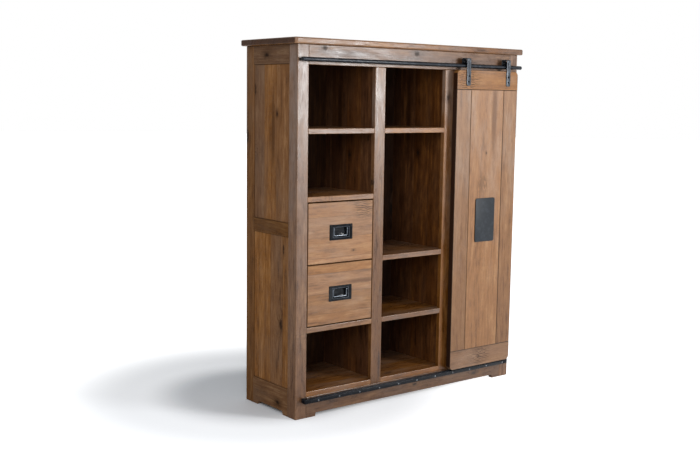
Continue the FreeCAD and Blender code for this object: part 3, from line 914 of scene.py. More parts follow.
def cut_along(bm: bmesh.types.BMesh, axis: int, step: float) -> None:
    """Cut a mesh across an axis at even steps, so that its edges can wander.

    Args:
        bm: the mesh.
        axis: the axis that the cuts stand across.
        step: distance between the cuts.
    """
    low, high = span([v.co for v in bm.verts])
    count = int((high[axis] - low[axis]) / step)
    normal = Vector([1.0 if i == axis else 0.0 for i in range(3)])
    for index in range(1, count):
        point = low.copy()
        point[axis] = low[axis] + (high[axis] - low[axis]) * index / count
        bmesh.ops.bisect_plane(
            bm, geom=bm.verts[:] + bm.edges[:] + bm.faces[:], plane_co=point, plane_no=normal
        )


def link_mesh(bm: bmesh.types.BMesh, name: str, material: bpy.types.Material,
              smooth_below: Optional[float] = None) -> bpy.types.Object:
    """Turn a mesh into an object in the scene.

    Args:
        bm: the mesh, which is freed.
        name: the object's name.
        material: its material.
        smooth_below: edges that turn less than this, in degrees, are shaded smooth.

    Returns:
        The object.
    """
    mesh = bpy.data.meshes.new(name)
    if smooth_below is not None:
        for face in bm.faces:
            face.smooth = True
        for edge in bm.edges:
            edge.smooth = len(edge.link_faces) == 2 and edge.calc_face_angle(0.0) < math.radians(smooth_below)
    bm.to_mesh(mesh)
    bm.free()
    mesh.materials.append(material)
    obj = bpy.data.objects.new(name, mesh)
    bpy.context.scene.collection.objects.link(obj)
    return obj


BOARD_LAYERS = ("grain_place", "grain_half", "board_traits", "board_joints_shade_sheen") + tuple(k.value for k in MarkKind)
EDGE_STEP = 0.055
EDGE_WANDER = 0.00035
EDGE_WANDER_SCALE = 9.0


class Board:
    """One solid board: its own axes, with the grain first."""

    def __init__(self, verts: Sequence[bmesh.types.BMVert], long_axis: int) -> None:
        """Measure the board.

        Args:
            verts: its vertices.
            long_axis: the axis that the grain follows.
        """
        low, high = span([v.co for v in verts])
        self.middle = (low + high) / 2
        self.size = high - low
        others = sorted((i for i in range(3) if i != long_axis), key=lambda i: -self.size[i])
        self.order = (long_axis, *others)

    def half(self) -> Vector:
        """Half its length, width and thickness."""
        return Vector([self.size[i] / 2 for i in self.order])

    def place(self, point: Vector) -> Vector:
        """A point along the grain, across the face and through the thickness, from the middle."""
        return Vector([point[i] - self.middle[i] for i in self.order])

    def holds(self, point: Vector) -> bool:
        """Whether a point is in the board, or within 4 mm of it."""
        return all(abs(point[i] - self.middle[i]) < self.size[i] / 2 + 4 * MM for i in range(3))

    def rim_distance(self, point: Vector) -> float:
        """How far a point is from the nearest long edge or corner."""
        return sorted(abs(abs(point[i] - self.middle[i]) - self.size[i] / 2) for i in range(3))[1]

    def inward(self, point: Vector, amount: Vector) -> Vector:
        """A move of that size towards the board's middle."""
        return Vector([-math.copysign(abs(amount[i]), point[i] - self.middle[i]) for i in range(3)])


class Dresser:
    """Turns construction nodes into finished pieces and keeps the tally."""

    def __init__(self, palette: Palette, bodies: Dict[str, List[str]]) -> None:
        """Keep the palette and look up each node's body.

        Args:
            palette: the materials.
            bodies: the nodes of each body.
        """
        self.palette = palette
        self.bodies = {node: body for body, nodes in bodies.items() for node in nodes}
        self.count = 0

    def settle(self, obj: bpy.types.Object, slot: str, nodes: Sequence[str]) -> bpy.types.Object:
        """Tie a finished piece to its body and construction nodes.

        Args:
            obj: the piece.
            slot: the record's material slot; not used.
            nodes: the nodes it stands for.

        Returns:
            The piece.
        """
        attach(obj, self.bodies[nodes[0]])
        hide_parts(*nodes)
        self.count += 1
        LOG.info("%s: %d faces on %s", obj.name, len(obj.data.polygons), self.bodies[nodes[0]])
        return obj

    def timber(self, node: str, finish: TimberFinish, look: BoardLook) -> bpy.types.Object:
        """Dress a timber node: eased, slightly wandering edges and its own grain.

        Args:
            node: the node's name.
            finish: its finish.
            look: how its boards are dressed.

        Returns:
            The piece.
        """
        draw = random.Random(node)
        bm = clean_solid(node)
        ease_edges(bm, look.ease, 2, 25.0)
        cut_along(bm, look.grain.value, EDGE_STEP)
        bm.verts.index_update()
        node_low, node_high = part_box(node)
        spots = [
            (mark, Vector([node_low[i] + mark.place[i] * (node_high[i] - node_low[i]) for i in range(3)]))
            for mark in look.marks
        ]
        layers = {name: [Vector()] * len(bm.verts) for name in BOARD_LAYERS}
        offset = Vector((draw.uniform(0, 90), draw.uniform(0, 90), draw.uniform(0, 90)))
        for solid in loose_solids(bm):
            board = Board(solid, look.grain.value)
            fixed = {
                "grain_half": board.half(),
                "board_traits": Vector((draw.uniform(1.0, 60.0), look.tone * draw.uniform(0.95, 1.05), look.width)),
                "board_joints_shade_sheen": Vector((look.joint_darkening, look.edge_painted_shade, look.painted_sheen_paling)),
            }
            for mark, spot in spots:
                if board.holds(spot):
                    here = board.place(spot)
                    fixed[mark.kind.value] = Vector((here.x, here.y, mark.size))
            for vert in solid:
                layers["grain_place"][vert.index] = board.place(vert.co)
                for name, value in fixed.items():
                    layers[name][vert.index] = value
                if board.rim_distance(vert.co) < look.ease * 1.5:
                    wander = noise.noise_vector(vert.co * EDGE_WANDER_SCALE + offset) * EDGE_WANDER
                    vert.co += board.inward(vert.co, wander)
        piece = link_mesh(bm, node + "_piece", self.palette.timber[finish.name])
        for name, values in layers.items():
            layer = piece.data.attributes.new(name, "FLOAT_VECTOR", "POINT")
            layer.data.foreach_set("vector", [number for value in values for number in value])
        return self.settle(piece, finish.slot, [node])

    def steel(self, node: str, finish: SteelFinish, ease: float = 0.0006,
              smooth: float = 38.0, front_highlight: float = 0.0, top_edge_highlight: float = 0.0) -> bpy.types.Object:
        """Dress a steel node with small eased edges and smooth bends.

        Args:
            node: the node's name.
            finish: its finish.
            ease: how far the edges are rounded off.
            smooth: edges that turn less than this, in degrees, are shaded smooth.
            front_highlight: how bright a painted highlight line along the frontmost line is, from 0 to 1.
            top_edge_highlight: how bright painted highlight lines along the lengthwise edges of the top are, from 0 to
                1.

        Returns:
            The piece.
        """
        solid_mesh = clean_solid(node)
        ease_edges(solid_mesh, ease, 2, 45.0)
        layer = solid_mesh.verts.layers.float_vector.new("wear_and_painted_highlight")
        solid_mesh.normal_update()
        for vert in solid_mesh.verts:
            # Painted highlight: vertices facing the front get a light line.
            share = front_highlight * max(0.0, (-vert.normal.y - 0.9) * 10.0)
            # Painted highlight: the top's lengthwise edges get light lines.
            if vert.normal.z > 0.3 and 0.3 < abs(vert.normal.y) < 0.95:
                share += top_edge_highlight
            vert[layer] = Vector((share, 0.0, 0.0))
        piece = link_mesh(solid_mesh, node + "_piece", self.palette.steel[finish.name], smooth)
        return self.settle(piece, finish.slot, [node])


def turned(bm: bmesh.types.BMesh, profile: Sequence[Tuple[float, float]], centre: Vector,
           axis: Vector, sides: int = 32) -> None:
    """Add a turned solid to a mesh.

    Args:
        bm: the mesh.
        profile: radius and distance along the axis of each ring; the ends close to a point.
        centre: where the distance is zero.
        axis: the turning axis.
        sides: number of sides.
    """
    turn = Vector((0, 0, 1)).rotation_difference(axis.normalized()).to_matrix()
    rings = []
    for radius, along in profile:
        if radius <= 0:
            rings.append([bm.verts.new(centre + turn @ Vector((0, 0, along)))])
            continue
        ring = []
        for step in range(sides):
            angle = 2 * math.pi * step / sides
            spot = Vector((radius * math.cos(angle), radius * math.sin(angle), along))
            ring.append(bm.verts.new(centre + turn @ spot))
        rings.append(ring)
    for first, second in zip(rings, rings[1:]):
        for step in range(sides):
            after = (step + 1) % sides
            if len(first) == 1:
                bm.faces.new((first[0], second[step], second[after]))
            elif len(second) == 1:
                bm.faces.new((first[after], first[step], second[0]))
            else:
                bm.faces.new((first[step], second[step], second[after], first[after]))


def solid_centres(node: str) -> List[Box]:
    """The box of each separate solid in a node.

    Args:
        node: the node's name.

    Returns:
        A box for each solid, from left to right.
    """
    bm = bmesh.new()
    bm.from_mesh(bpy.data.objects[node].data)
    bmesh.ops.remove_doubles(bm, verts=bm.verts, dist=0.00001)
    boxes = [span([v.co for v in solid]) for solid in loose_solids(bm)]
    bm.free()
    return sorted(boxes, key=lambda b: (round(b[0].x, 4), b[0].z))


@dataclass
class Carcase:
    """Top, posts, side frames, front frame, shelves, floor and back."""

    dresser: Dresser
    plank: float = 0.118
    top_ease: float = 0.0065
    frame_ease: float = 0.0024
    bays: Tuple[str, ...] = ("left", "middle", "right")
    levels: Tuple[str, ...] = ("upper", "centre", "lower")

    def build(self) -> None:
        """Dress every board of the carcase."""
        self.build_sides()
        self.build_front_frame()
        self.build_inside()

    def build_sides(self) -> None:
        """The top and the two framed sides."""
        timber = self.dresser.timber
        timber("top_board", FRAME_TIMBER, BoardLook(Grain.ACROSS, 0.155, self.top_ease, 1.1))
        rail_marks = (
            Mark(MarkKind.KNOT, (0.0, 0.62, 0.975), 0.016),
            Mark(MarkKind.STREAK, (0.0, 0.50, 0.487), 0.012),
            Mark(MarkKind.SECOND_KNOT, (0.0, 0.28, 0.03), 0.016),
        )
        panel_marks = (
            Mark(MarkKind.KNOT, (0.0, 0.36, 0.85), 0.011),
            Mark(MarkKind.STREAK, (0.0, 0.47, 0.80), 0.010),
            Mark(MarkKind.SECOND_KNOT, (0.0, 0.25, 0.2), 0.007),
        )
        for side in ("left", "right"):
            for end in ("front", "back"):
                look = BoardLook(
                    Grain.UPRIGHT, ease=self.frame_ease, tone=0.97 if end == "front" else 0.88, painted_sheen_paling=0.9
                )
                finish = FRAME_TIMBER if end == "front" else SIDE_TIMBER
                timber(f"{side}_{end}_post", finish, look)
            look = BoardLook(Grain.DEEP, ease=self.frame_ease, tone=0.66, marks=rail_marks)
            timber(f"{side}_side_rails", SIDE_TIMBER, look)
            look = BoardLook(Grain.UPRIGHT, 0.104, 0.0012, joint_darkening=0.6, marks=panel_marks)
            timber(f"{side}_side_panels", SIDE_TIMBER, look)

    def build_front_frame(self) -> None:
        """The frieze, apron and the two stiles between the bays."""
        timber = self.dresser.timber
        frieze_marks = (
            Mark(MarkKind.KNOT, (0.068, 0.0, 0.85), 0.014),
            Mark(MarkKind.SECOND_KNOT, (0.5, 0.0, 0.8), 0.017),
            Mark(MarkKind.STREAK, (0.16, 0.0, 0.62), 0.010),
        )
        timber("frieze_rail", FRAME_TIMBER, BoardLook(Grain.ACROSS, ease=self.frame_ease, marks=frieze_marks))
        timber("apron_rail", FRAME_TIMBER, BoardLook(Grain.ACROSS, ease=self.frame_ease, tone=0.82))
        timber("left_mid_stile", FRAME_TIMBER, BoardLook(Grain.UPRIGHT, ease=self.frame_ease, painted_sheen_paling=0.9))
        stile_marks = (Mark(MarkKind.KNOT, (0.35, 0.0, 0.91), 0.013),)
        look = BoardLook(Grain.UPRIGHT, ease=self.frame_ease, tone=1.3, painted_sheen_paling=0.9, marks=stile_marks)
        timber("right_mid_stile", FRAME_TIMBER, look)

    def build_inside(self) -> None:
        """The floor, shelves, dividers, back and runners."""
        timber = self.dresser.timber
        wall_marks = (Mark(MarkKind.KNOT, (0.0, 0.50, 0.68), 0.014), Mark(MarkKind.STREAK, (0.0, 0.7, 0.8), 0.012))
        for side in ("left", "right"):
            look = BoardLook(Grain.UPRIGHT, self.plank, 0.001, marks=wall_marks)
            timber(f"{side}_divider", INNER_TIMBER, look)
        timber("bottom_board", FRAME_TIMBER, BoardLook(Grain.ACROSS, self.plank, 0.002, 1.25))
        for bay in self.bays:
            for level in self.levels:
                timber(f"{bay}_shelf_{level}", FRAME_TIMBER, BoardLook(Grain.ACROSS, self.plank, 0.002, 1.25))
        timber("back_rail", INNER_TIMBER, BoardLook(Grain.ACROSS))
        # Painted shade: the back panel's tone of 0.4 darkens it to the depth of the shade inside the compartments.
        timber("back_panel", INNER_TIMBER, BoardLook(Grain.UPRIGHT, 0.132, 0.0008, 0.4))
        timber("drawer_runners", INNER_TIMBER, BoardLook(Grain.DEEP, ease=0.001))


@dataclass
class Drawer:
    """One drawer with its recessed pull and bail."""

    dresser: Dresser
    position: str
    tone: float
    marks: Tuple[Mark, ...] = ()
    plank: float = 0.098
    rim_half: Tuple[float, float] = (0.0495, 0.0275)
    bail_corner: float = 0.007
    wear_and_highlight_rings: Tuple[int, ...] = (8, 9)

    def name(self, piece: str) -> str:
        """The construction name of one of this drawer's pieces."""
        return f"{self.position}_drawer_{piece}"

    def build(self) -> None:
        """Dress the box, front, pull and bail."""
        timber = self.dresser.timber
        look = BoardLook(Grain.ACROSS, self.plank, 0.002, self.tone, joint_darkening=0.25, marks=self.marks)
        timber(self.name("front"), DOOR_TIMBER, look)
        timber(self.name("sides"), INNER_TIMBER, BoardLook(Grain.DEEP, ease=0.0012, tone=1.3))
        timber(self.name("back"), INNER_TIMBER, BoardLook(Grain.ACROSS, ease=0.0012, tone=1.3))
        timber(self.name("bottom"), INNER_TIMBER, BoardLook(Grain.ACROSS, ease=0.0008, tone=1.2))
        self.build_pull()
        self.build_bail()

    def build_pull(self) -> bpy.types.Object:
        """The pressed steel cup: sloped flange, raised inner rim and hollow.

        Returns:
            The piece.
        """
        node = self.name("pull")
        low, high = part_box(node)
        middle = (low + high) / 2
        front = low.y + 2.5 * MM
        half_x = (high.x - low.x) / 2
        half_z = (high.z - low.z) / 2
        rim_x, rim_z = self.rim_half
        depth = high.y - front
        rings = (
            (rim_x + 0.5 * MM, rim_z - 1.5 * MM, depth, 2.0 * MM),
            (rim_x + 0.5 * MM, rim_z - 1.5 * MM, 0.0, 2.0 * MM),
            (half_x, half_z, 0.0, 3.0 * MM),
            (half_x, half_z, -0.9 * MM, 3.0 * MM),
            (half_x - 1.6 * MM, half_z - 1.6 * MM, -2.5 * MM, 2.4 * MM),
            (rim_x + 6.5 * MM, rim_z + 2.5 * MM, -2.3 * MM, 2.2 * MM),
            (rim_x + 4.5 * MM, rim_z + 1.4 * MM, -1.1 * MM, 2.2 * MM),
            (rim_x + 1.2 * MM, rim_z - 0.4 * MM, -1.1 * MM, 2.2 * MM),
            (rim_x - 0.6 * MM, rim_z - 1.6 * MM, -2.9 * MM, 2.2 * MM),
            (rim_x - 2.6 * MM, rim_z - 3.2 * MM, -2.9 * MM, 2.0 * MM),
            (rim_x - 3.6 * MM, rim_z - 3.9 * MM, -0.5 * MM, 2.0 * MM),
            (rim_x - 5.0 * MM, rim_z - 5.0 * MM, depth - 4.0 * MM, 3.0 * MM),
            (rim_x - 9.0 * MM, rim_z - 9.0 * MM, depth - 1.6 * MM, 3.0 * MM),
        )
        bm = bmesh.new()
        rim_layer = bm.verts.layers.float_vector.new("wear_and_painted_highlight")
        loops = []
        for number, (half_w, half_h, y, corner) in enumerate(rings):
            outline = rounded_outline(half_w, half_h, corner, 5)
            loops.append([bm.verts.new((middle.x + x, front + y, middle.z + z)) for x, z in outline])
            # The raised inner rim's rings get the rubbed-through steel colour: wear, and a painted highlight along the
            # rim.
            for vert in loops[-1]:
                vert[rim_layer] = Vector((1.0 if number in self.wear_and_highlight_rings else 0.0, 0.0, 0.0))
        for first, second in zip(loops, loops[1:]):
            for index in range(len(first)):
                after = (index + 1) % len(first)
                bm.faces.new((first[index], first[after], second[after], second[index]))
        bm.faces.new(loops[0])
        bm.faces.new(loops[-1])
        bmesh.ops.recalc_face_normals(bm, faces=bm.faces)
        piece = link_mesh(bm, node + "_piece", self.dresser.palette.steel["black_steel"], 32.0)
        return self.dresser.settle(piece, BLACK_STEEL.slot, [node])

    def build_bail(self) -> bpy.types.Object:
        """The bent round bar that is pulled, with a pin at each end.

        Returns:
            The piece.
        """
        node = self.name("bail")
        low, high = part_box(node)
        y = (low.y + high.y) / 2
        radius = (high.y - low.y) / 2
        pin_x = (high.x - low.x) / 2
        leg_x = 40.0 * MM
        middle_x = (low.x + high.x) / 2
        top = high.z - radius
        bottom = low.z + radius
        path = [(-leg_x, top)]
        path += arc((-leg_x + self.bail_corner, bottom + self.bail_corner), self.bail_corner, 180, 270, 7)
        path += arc((leg_x - self.bail_corner, bottom + self.bail_corner), self.bail_corner, 270, 360, 7)
        path.append((leg_x, top))
        bm = bmesh.new()
        sides = 16
        rings = []
        for index, (x, z) in enumerate(path):
            before = path[max(index - 1, 0)]
            after = path[min(index + 1, len(path) - 1)]
            run = Vector((after[0] - before[0], 0, after[1] - before[1])).normalized()
            side = run.cross(Vector((0, 1, 0)))
            swell = 1.0 + 0.45 * max(0.0, 1 - (abs(x) / leg_x) ** 4)
            ring = []
            for step in range(sides):
                angle = 2 * math.pi * step / sides
                reach = side * math.cos(angle) * radius * swell + Vector((0, 1, 0)) * math.sin(angle) * radius
                ring.append(bm.verts.new(Vector((middle_x + x, y, z)) + reach))
            rings.append(ring)
        for first, second in zip(rings, rings[1:]):
            for step in range(sides):
                after = (step + 1) % sides
                bm.faces.new((first[step], first[after], second[after], second[step]))
        bm.faces.new(rings[0])
        bm.faces.new(rings[-1])
        for way in (-1, 1):
            eye = Vector((middle_x + way * leg_x, y, top))
            boss = [(0, -3.4 * MM), (2.6 * MM, -3.4 * MM), (3.2 * MM, -2.8 * MM), (3.2 * MM, 2.4 * MM), (2.0 * MM, 3.2 * MM)]
            boss += [(2.0 * MM, pin_x - leg_x), (0, pin_x - leg_x)]
            turned(bm, boss, eye, Vector((way, 0, 0)), 20)
        bmesh.ops.recalc_face_normals(bm, faces=bm.faces)
        piece = link_mesh(bm, node + "_piece", self.dresser.palette.steel["bail_steel"], 40.0)
        return self.dresser.settle(piece, BLACK_STEEL.slot, [node])


def rounded_outline(half_w: float, half_h: float, corner: float, steps: int) -> List[Tuple[float, float]]:
    """A rectangle with rounded corners, as points.

    Args:
        half_w: half the width.
        half_h: half the height.
        corner: the corner radius.
        steps: points on each corner.

    Returns:
        The points in order.
    """
    points: List[Tuple[float, float]] = []
    for index, (sx, sz) in enumerate(((1, 1), (-1, 1), (-1, -1), (1, -1))):
        centre = (sx * (half_w - corner), sz * (half_h - corner))
        points += arc(centre, corner, 90 * index, 90 * index + 90, steps)
    return points


def arc(centre: Tuple[float, float], radius: float, start: float, end: float,
        steps: int) -> List[Tuple[float, float]]:
    """Points on an arc.

    Args:
        centre: the arc's centre.
        radius: its radius.
        start: start angle in degrees.
        end: end angle in degrees.
        steps: number of points.

    Returns:
        The points.
    """
    found = []
    for index in range(steps):
        angle = math.radians(start + (end - start) * index / (steps - 1))
        found.append((centre[0] + radius * math.cos(angle), centre[1] + radius * math.sin(angle)))
    return found


@dataclass
class SlidingDoor:
    """The boarded door, its plaque and the guides under it."""

    dresser: Dresser
    ease: float = 0.0024

    def build(self) -> None:
        """Dress the door's boards, plaque and guides."""
        timber = self.dresser.timber
        top_marks = (Mark(MarkKind.CHECKS, (0.17, 0.0, 0.5), 0.040),)
        timber("door_top_rail", DOOR_TIMBER, BoardLook(Grain.ACROSS, ease=self.ease, joint_darkening=0.4, edge_painted_shade=0.95, marks=top_marks))
        low_marks = (
            Mark(MarkKind.KNOT, (0.48, 0.0, 0.5), 0.006),
            Mark(MarkKind.CHECKS, (0.5, 0.0, 0.55), 0.032),
        )
        look = BoardLook(Grain.ACROSS, ease=self.ease, tone=0.74, joint_darkening=0.4, edge_painted_shade=0.95, marks=low_marks)
        timber("door_bottom_rail", DOOR_TIMBER, look)
        for stile in ("door_left_stile", "door_right_stile"):
            timber(stile, DOOR_TIMBER, BoardLook(Grain.UPRIGHT, ease=0.0016, tone=0.97, joint_darkening=0.6, edge_painted_shade=0.95, painted_sheen_paling=0.9))
        panel_marks = (
            Mark(MarkKind.STREAK, (0.72, 0.0, 0.90), 0.012),
            Mark(MarkKind.CHECKS, (0.42, 0.0, 0.64), 0.024),
            Mark(MarkKind.KNOT, (0.5, 0.0, 0.76), 0.006),
            Mark(MarkKind.SECOND_KNOT, (0.45, 0.0, 0.5), 0.007),
        )
        look = BoardLook(Grain.UPRIGHT, ease=0.0016, tone=0.95, joint_darkening=0.6, painted_sheen_paling=0.6, marks=panel_marks)
        timber("door_panel", DOOR_TIMBER, look)
        self.dresser.steel("door_plaque", PLAQUE_STEEL, 0.0012)
        self.dresser.steel("door_guides", BLACK_STEEL)


@dataclass
class HangingGear:
    """The round rail, its stand-offs, and the straps, rollers and bolts that hang the door."""

    dresser: Dresser
    hex_across: float = 0.0135

    def build(self) -> None:
        """Dress the rail and everything that rolls on it."""
        # The rail gets a painted highlight line along its front.
        self.dresser.steel("hanging_rail", BLACK_STEEL, 0.0004, 60.0, 0.6)
        self.dresser.steel("rail_standoffs", BLACK_STEEL)
        self.dresser.steel("hanger_straps", STRAP_STEEL, 0.0009)
        for side in ("left", "right"):
            self.dresser.steel(f"{side}_roller", BLACK_STEEL, 0.0005)
        self.build_bolts()
        self.build_axles()

    def build_bolts(self) -> bpy.types.Object:
        """Domed bolt heads with a socket, standing on the straps.

        Returns:
            The piece.
        """
        bm = bmesh.new()
        for low, high in solid_centres("hanger_bolts"):
            middle = (low + high) / 2
            radius = (high.x - low.x) / 2
            height = high.y - low.y
            profile = [(0, 0), (radius, 0), (radius, height * 0.25), (radius * 0.93, height * 0.55)]
            profile += [(radius * 0.72, height * 0.86), (radius * 0.5, height), (radius * 0.44, height * 0.9)]
            profile += [(radius * 0.4, height * 0.35), (0, height * 0.3)]
            turned(bm, profile, Vector((middle.x, high.y, middle.z)), Vector((0, -1, 0)), 28)
        bmesh.ops.recalc_face_normals(bm, faces=bm.faces)
        piece = link_mesh(bm, "hanger_bolts_piece", self.dresser.palette.steel["black_steel"], 35.0)
        return self.dresser.settle(piece, BLACK_STEEL.slot, ["hanger_bolts"])

    def build_axles(self) -> bpy.types.Object:
        """Axles with a chamfered six-sided head.

        Returns:
            The piece.
        """
        bm = bmesh.new()
        for low, high in solid_centres("roller_axles"):
            middle = (low + high) / 2
            head = Vector((middle.x, low.y, middle.z))
            turned(bm, [(0, 0), (4 * MM, 0), (4 * MM, high.y - low.y), (0, high.y - low.y)], head, Vector((0, 1, 0)), 24)
            across = self.hex_across / 2
            profile = [(0, -0.05 * MM), (across * 0.82, -0.05 * MM), (across, 0.5 * MM), (across, 3.0 * MM), (0, 3.0 * MM)]
            turned(bm, profile, head, Vector((0, 1, 0)), 6)
        bmesh.ops.recalc_face_normals(bm, faces=bm.faces)
        piece = link_mesh(bm, "roller_axles_piece", self.dresser.palette.steel["strap_steel"], 25.0)
        return self.dresser.settle(piece, BLACK_STEEL.slot, ["roller_axles"])


@dataclass
class FloorTrack:
    """The grooved track below the door, its end blocks and its screws."""

    dresser: Dresser

    def build(self) -> None:
        """Dress the track."""
        # The track's top edges get painted highlight lines.
        self.dresser.steel("track", TRACK_STEEL, 0.0012, top_edge_highlight=1.0)
        self.dresser.steel("track_stops", BLACK_STEEL, 0.0015)
        self.build_screws()

    def build_screws(self) -> bpy.types.Object:
        """Bright pan-head screws with a driver recess.

        Returns:
            The piece.
        """
        bm = bmesh.new()
        for low, high in solid_centres("track_screws"):
            middle = (low + high) / 2
            radius = (high.x - low.x) / 2
            height = high.y - low.y
            profile = [(0, 0), (radius, 0), (radius * 0.96, height * 0.45), (radius * 0.7, height * 0.9)]
            profile += [(radius * 0.42, height), (radius * 0.3, height * 0.4), (0, height * 0.3)]
            turned(bm, profile, Vector((middle.x, high.y, middle.z)), Vector((0, -1, 0)), 24)
        bmesh.ops.recalc_face_normals(bm, faces=bm.faces)
        piece = link_mesh(bm, "track_screws_piece", self.dresser.palette.steel["screw_steel"], 40.0)
        return self.dresser.settle(piece, SCREW_STEEL.slot, ["track_screws"])


@dataclass
class Studio:
    """Pale floor, soft light and the camera."""

    camera_place: Tuple[float, float, float] = (-3.46644, -4.10834, 1.52053)
    camera_right: Tuple[float, float, float] = (0.78878359, -0.61451328, 0.01392368)
    camera_down: Tuple[float, float, float] = (-0.06806814, -0.10983974, -0.99161583)
    camera_ahead: Tuple[float, float, float] = (0.61089047, 0.78122254, -0.12846856)
    lens: float = 53.19
    floor_reach: float = 40.0
    painted_shadow_fade: Tuple[float, float] = (0.33, 0.62)
    painted_shadow_lift: float = 0.32
    far_fade: Tuple[float, float] = (0.68, 1.35)
    painted_shadow_centre: Tuple[float, float, float] = (-0.6, 0.3, 0.0)
    world_level: float = 0.30
    key_place: Tuple[float, float, float] = (2.26, -3.95, 1.66)
    key_aim: Tuple[float, float, float] = (-0.3, 0.0, 1.1)
    key_size: Tuple[float, float] = (1.15, 1.1)
    key_power: float = 140.0
    fill_place: Tuple[float, float, float] = (-3.6, -3.0, 2.7)
    fill_aim: Tuple[float, float, float] = (-0.4, 0.0, 0.9)
    fill_size: Tuple[float, float] = (2.5, 2.5)
    fill_power: float = 112.0

    def build(self) -> None:
        """Set the stage."""
        self.build_world()
        self.build_floor()
        self.build_lamp("key", self.key_place, self.key_aim, self.key_size, self.key_power)
        self.build_lamp("fill", self.fill_place, self.fill_aim, self.fill_size, self.fill_power)
        self.build_camera()
        bpy.context.scene.view_settings.view_transform = "Standard"

    def build_world(self) -> None:
        """A plain pale surround that shows white behind the object."""
        world = bpy.data.worlds.new("surround")
        bpy.context.scene.world = world
        world.use_nodes = True
        tree = world.node_tree
        tree.nodes.clear()
        sheet = NodeSheet(tree)
        soft = tree.nodes.new("ShaderNodeBackground")
        soft.inputs["Color"].default_value = (0.97, 0.985, 1.0, 1.0)
        soft.inputs["Strength"].default_value = self.world_level
        white = tree.nodes.new("ShaderNodeBackground")
        white.inputs["Color"].default_value = (1.0, 1.0, 1.0, 1.0)
        white.inputs["Strength"].default_value = 1.0
        mix = tree.nodes.new("ShaderNodeMixShader")
        tree.links.new(self.seen_directly(sheet), mix.inputs[0])
        tree.links.new(soft.outputs[0], mix.inputs[1])
        tree.links.new(white.outputs[0], mix.inputs[2])
        end = tree.nodes.new("ShaderNodeOutputWorld")
        tree.links.new(mix.outputs[0], end.inputs["Surface"])

    @staticmethod
    def seen_directly(sheet: NodeSheet) -> bpy.types.NodeSocket:
        """One for what the eye, a reflection or a clear pane shows, zero for light on the object."""
        paths = sheet.tree.nodes.new("ShaderNodeLightPath")
        shown = sheet.math("MAXIMUM", paths.outputs["Is Camera Ray"], paths.outputs["Is Glossy Ray"])
        return sheet.math("MAXIMUM", shown, paths.outputs["Is Transmission Ray"])

    def build_floor(self) -> None:
        """A pale floor that keeps the object's shadow and fades to white; its glow is held back around a centre left of
        and behind the object, painting a shadow there.
        """
        bm = bmesh.new()
        rings = []
        for radius in (0.0, 1.0, 2.0, 4.0, 8.0, 16.0, self.floor_reach):
            if radius == 0:
                rings.append([bm.verts.new((0, 0, 0))])
                continue
            rings.append([
                bm.verts.new((radius * math.cos(math.tau * i / 48), radius * math.sin(math.tau * i / 48), 0))
                for i in range(48)
            ])
        for first, second in zip(rings, rings[1:]):
            for i in range(48):
                after = (i + 1) % 48
                if len(first) == 1:
                    bm.faces.new((first[0], second[i], second[after]))
                else:
                    bm.faces.new((first[i], second[i], second[after], first[after]))
        material, sheet, shader = Palette.start("pale_floor_painted_shadow")
        tree = material.node_tree
        shader.inputs["Base Color"].default_value = (0.84, 0.87, 0.91, 1.0)
        shader.inputs["Roughness"].default_value = 0.75
        spot = tree.nodes.new("ShaderNodeTexCoord").outputs["Object"]
        length = tree.nodes.new("ShaderNodeVectorMath")
        length.operation = "LENGTH"
        shift = tree.nodes.new("ShaderNodeVectorMath")
        shift.operation = "SUBTRACT"
        shift.inputs[1].default_value = self.painted_shadow_centre
        tree.links.new(spot, shift.inputs[0])
        tree.links.new(shift.outputs["Vector"], length.inputs[0])
        # Painted shadow: near the centre the floor glows less, so it stays dark where the shadow falls.
        near = sheet.math("MULTIPLY", sheet.ramp(length.outputs["Value"], *self.painted_shadow_fade), self.painted_shadow_lift)
        far = sheet.math("MULTIPLY", sheet.ramp(length.outputs["Value"], *self.far_fade), 1.0 - self.painted_shadow_lift)
        share = sheet.math("ADD", near, far)
        share = sheet.math("MULTIPLY", share, self.seen_directly(sheet))
        glow = tree.nodes.new("ShaderNodeEmission")
        tree.links.new(share, glow.inputs["Strength"])
        both = tree.nodes.new("ShaderNodeAddShader")
        tree.links.new(shader.outputs[0], both.inputs[0])
        tree.links.new(glow.outputs[0], both.inputs[1])
        end = next(n for n in tree.nodes if n.type == "OUTPUT_MATERIAL")
        tree.links.new(both.outputs[0], end.inputs["Surface"])
        floor = link_mesh(bm, "floor", material)

    def build_lamp(self, name: str, place: Sequence[float], aim: Sequence[float],
                   size: Tuple[float, float], power: float) -> bpy.types.Object:
        """A rectangular soft lamp.

        Args:
            name: its name.
            place: where it stands.
            aim: the point it faces.
            size: width and height.
            power: power in watts.

        Returns:
            The lamp.
        """
        data = bpy.data.lights.new(name, "AREA")
        data.shape = "RECTANGLE"
        data.size, data.size_y = size
        data.energy = power
        lamp = bpy.data.objects.new(name, data)
        bpy.context.scene.collection.objects.link(lamp)
        lamp.location = place
        lamp.rotation_euler = (Vector(aim) - Vector(place)).to_track_quat("-Z", "Y").to_euler()
        return lamp

    def build_camera(self) -> None:
        """The camera, looking from the front left at eye height."""
        data = bpy.data.cameras.new("view")
        data.sensor_width = 36.0
        data.lens = self.lens
        data.clip_end = 200.0
        camera = bpy.data.objects.new("view", data)
        bpy.context.scene.collection.objects.link(camera)
        right = Vector(self.camera_right)
        up = -Vector(self.camera_down)
        back = -Vector(self.camera_ahead)
        turn = Matrix((right, up, back)).transposed().to_4x4()
        camera.matrix_world = Matrix.Translation(self.camera_place) @ turn
        bpy.context.scene.camera = camera


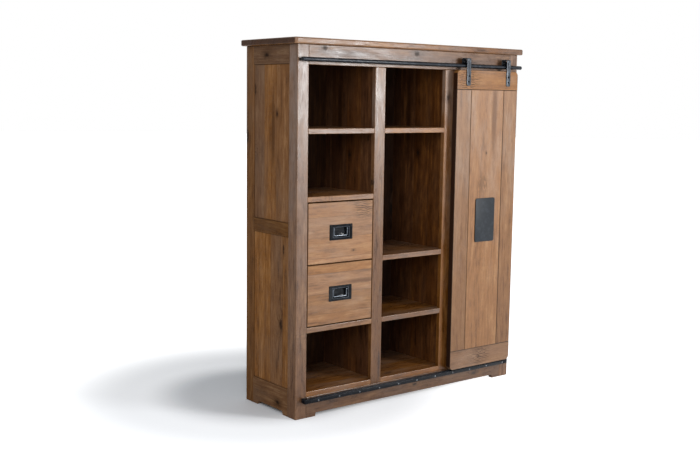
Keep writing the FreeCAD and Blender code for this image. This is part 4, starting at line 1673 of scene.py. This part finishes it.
def main() -> None:
    """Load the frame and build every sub-assembly."""
    logging.basicConfig(level=logging.INFO, format="%(name)s %(message)s")
    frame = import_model()
    dresser = Dresser(Palette(), frame["record"]["behaviour"]["bodies"])
    Carcase(dresser).build()
    upper_marks = (
        Mark(MarkKind.CHECKS, (0.86, 0.0, 0.86), 0.030),
        Mark(MarkKind.KNOT, (0.70, 0.0, 0.18), 0.006),
    )
    lower_marks = (Mark(MarkKind.STREAK, (0.88, 0.0, 0.67), 0.007), Mark(MarkKind.KNOT, (0.33, 0.0, 0.4), 0.005))
    Drawer(dresser, "upper", 1.06, upper_marks).build()
    Drawer(dresser, "lower", 1.08, lower_marks).build()
    SlidingDoor(dresser).build()
    HangingGear(dresser).build()
    FloorTrack(dresser).build()
    Studio().build()
    LOG.info("%d pieces dressed", dresser.count)


if __name__ == "__main__":
    main()
